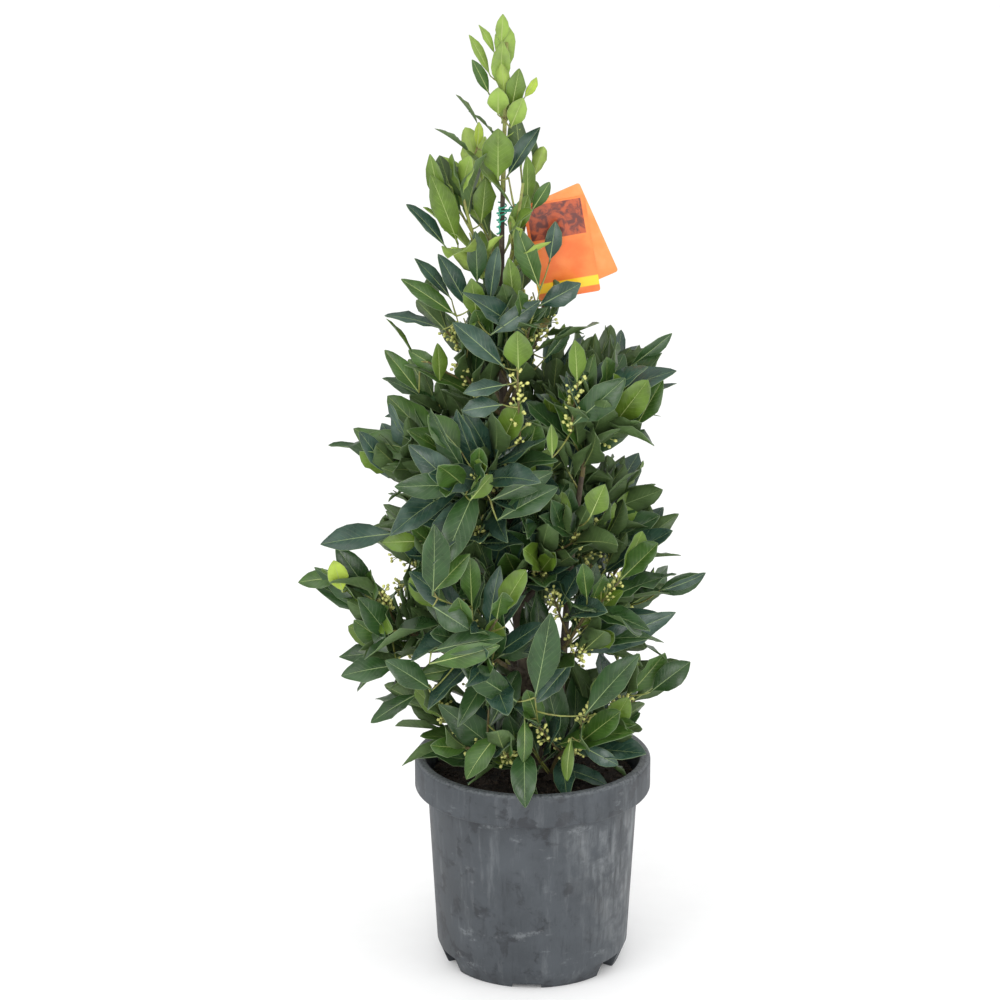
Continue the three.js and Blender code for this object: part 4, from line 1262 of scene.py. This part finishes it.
class BayLabel(bpy.types.PropertyGroup):
    """Sizes and colours of the hanging cards"""

    width: length("Width", "Across a card", 0.066)
    length: length("Length", "Down a card", 0.104)
    thickness: length("Thickness", "Of a card", 0.0006)
    corner: length("Corner", "Rounding of the corners", 0.003)
    front_tilt: angle("Front tilt", "Turn of the front card", math.radians(10))
    back_tilt: angle("Back tilt", "Turn of the back card", math.radians(24))
    card: colour("Card", "Orange card", 238, 128, 52)
    card_pale: colour("Pale card", "Back card", 242, 146, 78)
    card_deep: colour("Deep card", "Front card", 232, 104, 30)
    panel: colour("Panel", "Picture panel's darks", 92, 34, 26)
    panel_warm: colour("Warm panel", "Picture panel's lights", 176, 74, 30)
    band: colour("Band", "Yellow band", 250, 200, 30)
    tie: colour("Tie", "Twist tie", 44, 142, 116)


class BayStage(bpy.types.PropertyGroup):
    """Floor, camera and lights"""

    floor: colour("Floor", "Paper sweep", 250, 250, 250)
    sky: colour("Sky", "Soft light all round", 255, 255, 255)
    sky_strength: strength("Sky strength", "Brightness of the soft light", 1.08)
    key: power("Key light", "Large soft light at the upper left", 40)
    fill: power("Fill light", "Large soft light at the right", 18)
    front: power("Front light", "Soft light by the camera", 42)
    distance: length("Camera distance", "In front of the plant", 3.5)
    camera_height: length("Camera height", "Above the floor", 1.6)
    aim_height: length("Aim height", "Where the camera looks", 0.530)
    aside: offset("Aside", "Camera's place to the right of the pot's axis", -0.036)
    lens: focal("Lens", "Focal length on a 36 mm sensor", 122.2)


# Modelling steps that several pieces share


def fresh_piece(add, name, **settings):
    """Adds one primitive with nothing else selected."""
    bpy.ops.object.select_all(action="DESELECT")
    add(**settings)
    piece = bpy.context.object
    piece.name = piece.data.name = name
    return piece


def choose(piece):
    """Selects one piece alone and makes it active."""
    bpy.ops.object.select_all(action="DESELECT")
    piece.select_set(True)
    bpy.context.view_layer.objects.active = piece


def select_points(piece, test):
    """Selects the vertices that pass a test on their place, in edit mode."""
    bpy.ops.mesh.select_mode(type="VERT")
    bpy.ops.mesh.select_all(action="DESELECT")
    bpy.ops.object.mode_set(mode="OBJECT")
    for vertex in piece.data.vertices:
        vertex.select = test(vertex.co)
    bpy.ops.object.mode_set(mode="EDIT")


def extrude_ring(radius, following, rise):
    """Draws the selected ring of edges out to another radius and height."""
    bpy.ops.mesh.extrude_edges_move(TRANSFORM_OT_translate={"value": (0, 0, rise)})
    scale = following / radius
    bpy.ops.transform.resize(value=(scale, scale, 1), center_override=(0, 0, 0))


def outward(piece):
    """Merges doubles and points every face outwards."""
    bpy.ops.object.mode_set(mode="EDIT")
    bpy.ops.mesh.select_all(action="SELECT")
    bpy.ops.mesh.remove_doubles(threshold=1e-6)
    bpy.ops.mesh.normals_make_consistent(inside=False)
    bpy.ops.object.mode_set(mode="OBJECT")


def apply_modifier(piece, kind, **settings):
    modifier = piece.modifiers.new(kind.lower(), kind)
    for key, value in settings.items():
        setattr(modifier, key, value)
    bpy.context.view_layer.objects.active = piece
    bpy.ops.object.modifier_apply(modifier=modifier.name)


def carve(piece, tool):
    """Cuts a tool's shape out of a piece."""
    apply_modifier(piece, "BOOLEAN", operation="DIFFERENCE", object=tool, solver="EXACT")
    bpy.data.objects.remove(tool)


def settle(piece, slot, finishes, *nodes):
    """Gives a piece its finishes and its place in the frame."""
    if finishes:
        piece.data.materials.clear()
        for finish in finishes:
            piece.data.materials.append(finish.material)
    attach(piece, "root")
    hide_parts(*nodes)


def nodes_named(*starts):
    found = [node for node in NODES if node.startswith(starts)]
    if not found:
        raise RuntimeError(f"the packed part has no node named {' or '.join(starts)}")
    return found


PLANTS = {}


def plant_of(scene):
    """The grown plant, worked out once for all the operators that dress it."""
    if scene.name not in PLANTS:
        PLANTS[scene.name] = Plant(scene.bay_plant, scene.bay_label, scene.bay_stage)
    return PLANTS[scene.name]


# Operators

FLOOR_SIZE = 14
LAMPS = (
    ("key_light", (-2.2, -2.6, 3.0), 2.4),
    ("fill_light", (2.9, -1.6, 1.9), 2.4),
    ("front_light", (0.0, -3.6, 1.3), 1.6),
)


class BAY_OT_stage(bpy.types.Operator):
    """Lays the floor and sets the camera and the soft lights"""

    bl_idname = "bay.stage"
    bl_label = "Stage"

    def execute(self, context):
        scene, stage = context.scene, context.scene.bay_stage
        floor = fresh_piece(
            bpy.ops.mesh.primitive_plane_add, "floor", size=FLOOR_SIZE, location=(0, 0, CAD_BOX[0][2])
        )
        floor.data.materials.append(studio_floor(stage).material)
        aim = Vector((stage.aside, 0, stage.aim_height))
        for (name, place, size), watts in zip(LAMPS, (stage.key, stage.fill, stage.front)):
            bpy.ops.object.light_add(
                type="AREA", location=place, rotation=self.facing(Vector(place), aim)
            )
            lamp = context.object
            lamp.name = name
            lamp.data.size = size
            lamp.data.energy = watts
        world = bpy.data.worlds.new("soft_sky")
        world.use_nodes = True
        background = world.node_tree.nodes["Background"]
        background.inputs["Color"].default_value = (*stage.sky, 1)
        background.inputs["Strength"].default_value = stage.sky_strength
        scene.world = world
        place = Vector((stage.aside, -stage.distance, stage.camera_height))
        bpy.ops.object.camera_add(location=place, rotation=self.facing(place, aim))
        context.object.data.lens = stage.lens
        scene.camera = context.object
        scene.view_settings.view_transform = "Standard"
        return {"FINISHED"}

    def facing(self, place, aim):
        return (aim - place).to_track_quat("-Z", "Y").to_euler()


# Small sizes of the pot's moulding, in metres: the middle pad and the foot ring with the channel
# between them, the roundings, the drafts and the drain arches
PAD_RADIUS, RING_WIDTH, CHANNEL_DEPTH, CHANNEL_SLOPE = 0.060, 0.011, 0.006, 0.003
COLLAR_ROUND, RIM_ROUND, MOUTH_ROUND, DRAFT = 0.002, 0.003, 0.002, 0.001
LEDGE_TOP, LEDGE_FOOT, MOUTH_DEPTH = 0.006, 0.001, 0.014
NOTCHES, NOTCH_TURN, NOTCH_INSET = 6, -94, 0.004
NOTCH_DEPTH, NOTCH_WIDTH = 0.036, 0.032
BEVEL_ANGLE, POT_SMOOTH, CARD_SMOOTH = math.radians(24), math.radians(32), math.radians(30)


class BAY_OT_pot(bpy.types.Operator):
    """Draws the pot's wall up from its foot, ring by ring, and cuts the drain notches"""

    bl_idname = "bay.pot"
    bl_label = "Pot"

    def execute(self, context):
        pot = context.scene.bay_pot
        collar_foot = pot.height - pot.collar
        inside = pot.rim_radius - pot.lip
        mouth_foot = pot.body_top - pot.wall
        profile = [
            (PAD_RADIUS, 0.0),
            (PAD_RADIUS + CHANNEL_SLOPE, CHANNEL_DEPTH),
            (pot.foot - RING_WIDTH - CHANNEL_SLOPE, CHANNEL_DEPTH),
            (pot.foot - RING_WIDTH, 0.0),
            (pot.foot, 0.0),
            (pot.body_foot, pot.chamfer),
            (pot.body_top, collar_foot),
            (pot.rim_radius - COLLAR_ROUND, collar_foot),
            (pot.rim_radius, collar_foot + COLLAR_ROUND),
            (pot.rim_radius, pot.height - RIM_ROUND),
            (pot.rim_radius - RIM_ROUND, pot.height),
            (inside + MOUTH_ROUND, pot.height),
            (inside, pot.height - MOUTH_ROUND),
            (inside - DRAFT, collar_foot + LEDGE_TOP),
            (mouth_foot, collar_foot + LEDGE_FOOT),
            (mouth_foot - DRAFT, collar_foot - MOUTH_DEPTH),
        ]
        piece = fresh_piece(
            bpy.ops.mesh.primitive_circle_add, "nursery_pot", vertices=pot.facets,
            radius=PAD_RADIUS, fill_type="NGON",
        )
        bpy.ops.object.mode_set(mode="EDIT")
        bpy.ops.mesh.select_mode(type="EDGE")
        for (radius, height), (following, level) in zip(profile, profile[1:]):
            extrude_ring(radius, following, level - height)
        bpy.ops.mesh.edge_face_add()
        bpy.ops.object.mode_set(mode="OBJECT")
        outward(piece)
        apply_modifier(
            piece, "BEVEL", width=pot.edge, segments=3, limit_method="ANGLE", angle_limit=BEVEL_ANGLE
        )
        for i in range(NOTCHES):
            azimuth = math.radians(NOTCH_TURN + 360 * i / NOTCHES)
            self.notch(piece, pot, azimuth, pot.notch if i else pot.front_notch)
        choose(piece)
        bpy.ops.object.shade_smooth_by_angle(angle=POT_SMOOTH)
        settle(piece, "pot", [pot_plastic(pot)], "pot")
        return {"FINISHED"}

    def notch(self, piece, pot, azimuth, height):
        """Cuts one arch through the foot ring."""
        tool = fresh_piece(
            bpy.ops.mesh.primitive_cube_add, "notch", size=1,
            location=compass(azimuth) * (pot.foot + NOTCH_INSET), rotation=(0, 0, azimuth),
            scale=(NOTCH_DEPTH, NOTCH_WIDTH, 2 * height),
        )
        bpy.ops.object.transform_apply(location=True, rotation=True, scale=True)
        carve(piece, tool)


# The compost: cells across its bed, its two sizes of lumps, and its crumbs in millimetres
BED_CELLS = 110
LUMPS = (("broad", 0.045, 1.0), ("fine", 0.009, 0.5))
CRUMB_SEED, CRUMB_RING, CRUMB_LEAST, CRUMB_MORE, CHIP_SHARE = 77, 108, 1.3, 3.4, 0.16


class BAY_OT_compost(bpy.types.Operator):
    """Models the compost as an uneven plug, with loose crumbs over it"""

    bl_idname = "bay.compost"
    bl_label = "Compost"

    def execute(self, context):
        soil = context.scene.bay_soil
        piece = fresh_piece(
            bpy.ops.mesh.primitive_grid_add, "compost", x_subdivisions=BED_CELLS,
            y_subdivisions=BED_CELLS, size=2 * soil.radius, location=(0, 0, soil.top),
        )
        bpy.ops.object.transform_apply(location=True)
        bpy.ops.object.mode_set(mode="EDIT")
        select_points(piece, lambda place: math.hypot(place.x, place.y) > soil.radius)
        bpy.ops.mesh.delete(type="VERT")
        bpy.ops.object.mode_set(mode="OBJECT")
        for name, scale, share in LUMPS:
            texture = bpy.data.textures.new(f"{name}_lumps", "CLOUDS")
            texture.noise_scale = scale
            apply_modifier(
                piece, "DISPLACE", texture=texture, strength=soil.lumps * share, mid_level=0.5,
                direction="Z", texture_coords="LOCAL",
            )
        bpy.ops.object.mode_set(mode="EDIT")
        bpy.ops.mesh.select_all(action="SELECT")
        bpy.ops.mesh.region_to_loop()
        bpy.ops.mesh.extrude_edges_move(TRANSFORM_OT_translate={"value": (0, 0, -soil.drop)})
        bpy.ops.mesh.edge_face_add()
        bpy.ops.object.mode_set(mode="OBJECT")
        outward(piece)
        bpy.ops.object.shade_smooth()
        settle(piece, "soil", [compost_crumble(soil, "compost_bed", 1.0)], "soil")
        chance = Dice(CRUMB_SEED)
        heap = Heap()
        for _ in range(soil.crumbs):
            turn = chance.between(0, 2 * math.pi)
            reach = CRUMB_RING * math.sqrt(chance.roll())
            size = CRUMB_LEAST + CRUMB_MORE * chance.roll() ** 3
            place = compass(turn) * reach + UP * (soil.top / MM + size * 0.35)
            points, faces = crumb(place, size, chance)
            heap.add(points, faces, int(chance.roll() < CHIP_SHARE))
        crumbs = heap.build(
            "compost_crumbs",
            [compost_crumble(soil, "compost_crumb", 1.25), compost_crumble(soil, "bark_chip", 2.1)],
        )
        settle(crumbs, "soil", [], "soil")
        return {"FINISHED"}


# Rings and sides of the limbs, how far they run on into what carries them, and their radii
TRUNK_RINGS, TRUNK_SIDES, TRUNK_SUNK = 230, 22, 0.008
LIMB_RINGS, LIMB_SIDES, STEM_SUNK, LIMB_RUN_ON = 44, 14, 0.02, 0.01
STEM_FOOT, BOUGH_FOOT, LIMB_TIP = 5.0, 4.0, 2.7
COLLAR_SWELL, COLLAR_LENGTH = 2.2, 9
SHOOT_STEPS, SHOOT_SIDES = (11, 6, 4), (8, 6, 5)
LIMB_SEED, SHOOT_SEED, BUD_SEED = 5, 6, 9


class BAY_OT_limbs(bpy.types.Operator):
    """Grows the trunk, stems and boughs with their bark"""

    bl_idname = "bay.limbs"
    bl_label = "Trunk and boughs"

    def execute(self, context):
        plant = plant_of(context.scene)
        look = context.scene.bay_plant
        chance = Dice(LIMB_SEED)
        trunk, limbs = Heap(), Heap()
        shares = np.linspace(-TRUNK_SUNK, 1, TRUNK_RINGS)
        radii = trunk_radius(np.maximum(shares, 0))
        trunk.add_tube(TRUNK.at(shares), radii, TRUNK_SIDES, 0, bark_relief(chance))
        for mass in plant.masses:
            if not mass.split:
                continue
            start = -STEM_SUNK if mass.from_soil else 0
            shares = np.linspace(start, mass.split + LIMB_RUN_ON, LIMB_RINGS)
            foot = STEM_FOOT if mass.from_soil else BOUGH_FOOT
            radii = blend(foot, LIMB_TIP, np.clip(shares / mass.split, 0, 1))
            walked = np.clip(shares, 0, 1) * mass.line.length()
            radii = radii + COLLAR_SWELL * np.exp(-walked / COLLAR_LENGTH)
            limbs.add_tube(mass.line.at(shares), radii, LIMB_SIDES, 0, bark_relief(chance))
        bark = bark_skin("trunk_bark", look.bark, look.bark_pale, 190)
        settle(trunk.build("trunk_bark", [bark]), "bark", [], "trunk")
        bark = bark_skin("bough_bark", look.bark, look.bark_pale, 260)
        settle(limbs.build("bough_bark", [bark]), "bark", [], *nodes_named("stem_", "bough_"))
        return {"FINISHED"}


class BAY_OT_twigs(bpy.types.Operator):
    """Grows the leafy shoots and twigs on from the boughs"""

    bl_idname = "bay.twigs"
    bl_label = "Twigs"

    def execute(self, context):
        plant = plant_of(context.scene)
        look = context.scene.bay_plant
        chance = Dice(SHOOT_SEED)
        heap = Heap()
        for shoot in plant.shoots:
            steps = SHOOT_STEPS[shoot.order]
            radii = np.linspace(*shoot.radii, steps + 1)
            young = shoot.order == FINE or shoot.mass.tier in YOUNG_TIERS
            sides = SHOOT_SIDES[shoot.order]
            heap.add_tube(shoot.line(steps), radii, sides, int(young), bark_relief(chance))
        finishes = [
            bark_skin("shoot_bark", look.twig, look.bark_pale, 330),
            stalk_skin("green_shoot", look.twig_green, look.twig),
        ]
        settle(heap.build("leafy_twigs", finishes), "bark", [], *nodes_named("foliage_"))
        return {"FINISHED"}


# Each tone's setting, its roughness and its share of painted sheen (the sky's pale reflection painted
# into the colour), in the order of the tones
TONES = (
    ("deep", 0.28, 0.24), ("dark", 0.30, 0.07), ("green", 0.34, 0.03),
    ("fresh", 0.40, 0), ("light", 0.46, 0), ("yellow", 0.48, 0),
)


class BAY_OT_leaves(bpy.types.Operator):
    """Sets every leaf on its twig, sorted by age into three pieces"""

    bl_idname = "bay.leaves"
    bl_label = "Leaves"

    def execute(self, context):
        plant = plant_of(context.scene)
        look = context.scene.bay_plant
        faces, parts = blade_faces()
        old, young = (look.underside, look.old_margin), (look.young_back, look.margin)
        groups = (
            ("leaves_old", (DEEP, DARK), look.old_rib, *old, "foliage"),
            ("leaves_grown", (GREEN, FRESH), look.rib, *old, "foliage"),
            ("leaves_young", (LIGHT, YELLOW), look.rib, *young, "young_foliage"),
        )
        for name, ages, rib, back, margin, slot in groups:
            heap = Heap()
            for leaf in plant.leaves:
                if leaf.tone in ages:
                    points, chart = blade_points(leaf)
                    skin = np.where(parts == BLADE, ages.index(leaf.tone), parts + 1)
                    heap.add(points, faces, skin, chart)
            finishes = []
            # Each tone's finish, with its share of painted sheen
            for tone, gloss, sheen_share in (TONES[age] for age in ages):
                finishes.append(blade_skin(f"blade_{tone}", getattr(look, tone), rib, gloss, sheen_share))
            finishes += [
                stalk_skin(f"{name}_rib", rib, shaded(rib, 0.8)),
                stalk_skin(f"{name}_margin", margin, shaded(margin, 0.85)),
                blade_back(f"{name}_underside", back, rib),
            ]
            settle(heap.build(name, finishes), slot, [], *nodes_named("foliage_"))
        return {"FINISHED"}


# Flower buds: how many in a cluster, the lean, spread and reach of their stalks, and their radii
CLUSTER_LEAST, CLUSTER_MORE = 2, 3
STALK_LEAN, STALK_LEAN_SPREAD, STALK_SPREAD, STALK_RISE = 46, 24, 0.7, 1.2
STALK_REACH, STALK_RADII, BUD_RADII = (6, 14), (0.6, 0.5, 0.5), (1.6, 2.2)


class BAY_OT_buds(bpy.types.Operator):
    """Sets clusters of stalked flower buds in the leaf axils"""

    bl_idname = "bay.buds"
    bl_label = "Flower buds"

    def execute(self, context):
        plant = plant_of(context.scene)
        look = context.scene.bay_plant
        chance = Dice(BUD_SEED)
        heap = Heap()
        for seat, turn, luck in plant.buds:
            place, stem = seat[:2]
            for _ in range(CLUSTER_LEAST + int(luck * CLUSTER_MORE)):
                lean = math.radians(chance.about(STALK_LEAN, STALK_LEAN_SPREAD))
                along = branch_off(seat, lean, turn + chance.about(0, STALK_SPREAD))
                reach = along * chance.between(*STALK_REACH)
                stalk = Curve(place, place + reach * 0.5 + stem * STALK_RISE, place + reach)
                heap.add_tube(stalk.at(np.linspace(0, 1, 3)), STALK_RADII, 4, 1)
                heap.add(*bead(place + reach, chance.between(*BUD_RADII), stalk.along(1.0)), 0)
        finishes = [
            stalk_skin("bud_skin", look.bud, shaded(look.bud, 0.8)),
            stalk_skin("bud_stalk", look.twig_green, look.rib),
        ]
        settle(heap.build("flower_buds", finishes), "young_foliage", [], *nodes_named("foliage_"))
        return {"FINISHED"}


# The cards, in metres: half the gap between them, and the hole and the punch that makes it
CARD_STEP, HOLE_RADIUS, PUNCH_DEPTH, CORNER_REACH = 0.00045, 0.0018, 0.03, 1e-5
FRONT_BOW, BACK_BOW = math.radians(-4), math.radians(3)


class BAY_OT_label(bpy.types.Operator):
    """Cuts the two hanging cards, bows them and punches their holes"""

    bl_idname = "bay.label"
    bl_label = "Label cards"

    def execute(self, context):
        label = context.scene.bay_label
        self.card(label, "front", label.front_tilt, -CARD_STEP, FRONT_BOW, False)
        self.card(label, "back", label.back_tilt, CARD_STEP, BACK_BOW, True)
        return {"FINISHED"}

    def card(self, label, side, tilt, step, bow, plain):
        inset = HOLE_INSET * MM
        left, right = -inset, label.width - inset
        top, bottom = inset, inset - label.length
        piece = fresh_piece(
            bpy.ops.mesh.primitive_grid_add, f"label_{side}", x_subdivisions=10, y_subdivisions=14,
            size=1,
        )
        bpy.ops.object.mode_set(mode="EDIT")
        bpy.ops.mesh.select_all(action="SELECT")
        bpy.ops.transform.resize(value=(label.width, label.length, 1), center_override=(0, 0, 0))
        bpy.ops.transform.translate(value=(label.width / 2 - inset, inset - label.length / 2, 0))
        select_points(
            piece,
            lambda place: min(abs(place.x - left), abs(place.x - right)) < CORNER_REACH
            and min(abs(place.y - top), abs(place.y - bottom)) < CORNER_REACH,
        )
        bpy.ops.mesh.bevel(offset=label.corner, segments=4, affect="VERTICES")
        bpy.ops.object.mode_set(mode="OBJECT")
        apply_modifier(piece, "SIMPLE_DEFORM", deform_method="BEND", deform_axis="Y", angle=bow)
        apply_modifier(piece, "SOLIDIFY", thickness=label.thickness, offset=0)
        tool = fresh_piece(
            bpy.ops.mesh.primitive_cylinder_add, "punch", vertices=24, radius=HOLE_RADIUS,
            depth=PUNCH_DEPTH,
        )
        carve(piece, tool)
        choose(piece)
        piece.rotation_euler = (math.pi / 2, -tilt, 0)
        piece.location = Vector(HOLE_POINT * MM) + Vector((0, step, 0))
        bpy.ops.object.transform_apply(location=True, rotation=True, scale=True)
        bpy.ops.object.shade_smooth_by_angle(angle=CARD_SMOOTH)
        settle(piece, "card", [printed_card(f"card_{side}", label, plain)], f"label_card_{side}")


# The twist tie, in millimetres: its room round the trunk, its windings and the radii of its parts
TIE_ROOM, WOUND_ROOM, WINDINGS, WOUND_HEIGHTS = 1.1, 0.5, 3.5, (-16, 9)
RING_WIRE, COIL_WIRE, TAIL_WIRES, WIRE_SIDES = 0.75, 0.8, (0.8, 0.9), 6


class BAY_OT_tie(bpy.types.Operator):
    """Winds the twist tie round the trunk and through the cards"""

    bl_idname = "bay.tie"
    bl_label = "Twist tie"

    def execute(self, context):
        label = context.scene.bay_label
        loop = float(trunk_radius(trunk_share(LABEL_HEIGHT))) + TIE_ROOM
        turns = np.linspace(0, 2 * math.pi, 41)
        ring = np.column_stack((loop * np.cos(turns), loop * np.sin(turns), 0 * turns))
        ring[:, 0] += np.where(ring[:, 0] > GAP, TIE_REACH - loop, 0)
        wind = np.linspace(0, 2 * math.pi * WINDINGS, 90)
        wound = loop + WOUND_ROOM
        rise = np.linspace(*WOUND_HEIGHTS, len(wind))
        coil = np.column_stack((wound * np.cos(wind), wound * np.sin(wind), rise))
        tail = np.linspace(0, 1, 60)
        first = np.column_stack((
            loop + 12 * tail, 1.1 * np.sin(tail * 16) - 1.2, 7 * tail + 1.1 * np.cos(tail * 16)
        ))
        second = np.column_stack((
            1.6 * np.sin(tail * 24) - 4, -loop - 3 - 9 * tail, 4 - 26 * tail + 1.6 * np.cos(tail * 24)
        ))
        heap = Heap()
        for line, radius in zip((ring, coil, first, second), (RING_WIRE, COIL_WIRE, *TAIL_WIRES)):
            heap.add_tube(TIE_POINT + line, np.full(len(line), radius), WIRE_SIDES, 0)
        settle(heap.build("twist_tie", [twist_tie(label)]), "tie", [], "label_tie")
        return {"FINISHED"}


class VIEW3D_PT_bay(bpy.types.Panel):
    """Settings of the potted bay and the operators that build it"""

    bl_label = "Potted bay"
    bl_space_type = "VIEW_3D"
    bl_region_type = "UI"
    bl_category = "Bay"

    def draw(self, context):
        for operator in OPERATORS:
            self.layout.operator(operator.bl_idname)
        for name in GROUPS:
            box = self.layout.box()
            box.label(text=name.replace("_", " ").title())
            group = getattr(context.scene, name)
            for field in group.bl_rna.properties:
                if field.identifier not in ("rna_type", "name"):
                    box.prop(group, field.identifier)


GROUPS = {
    "bay_pot": BayPot,
    "bay_soil": BaySoil,
    "bay_plant": BayPlant,
    "bay_label": BayLabel,
    "bay_stage": BayStage,
}
OPERATORS = (
    BAY_OT_stage,
    BAY_OT_pot,
    BAY_OT_compost,
    BAY_OT_limbs,
    BAY_OT_twigs,
    BAY_OT_leaves,
    BAY_OT_buds,
    BAY_OT_label,
    BAY_OT_tie,
)


def register():
    for item in (*GROUPS.values(), *OPERATORS, VIEW3D_PT_bay):
        bpy.utils.register_class(item)
    for name, group in GROUPS.items():
        setattr(bpy.types.Scene, name, bpy.props.PointerProperty(type=group))


def unregister():
    for name in GROUPS:
        delattr(bpy.types.Scene, name)
    for item in (VIEW3D_PT_bay, *reversed(OPERATORS), *reversed(tuple(GROUPS.values()))):
        bpy.utils.unregister_class(item)


def main():
    register()
    bpy.ops.object.select_all(action="DESELECT")
    bpy.ops.bay.stage()
    bpy.ops.bay.pot()
    bpy.ops.bay.compost()
    bpy.ops.bay.limbs()
    bpy.ops.bay.twigs()
    bpy.ops.bay.leaves()
    bpy.ops.bay.buds()
    bpy.ops.bay.label()
    bpy.ops.bay.tie()
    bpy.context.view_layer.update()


if __name__ == "__main__":
    main()
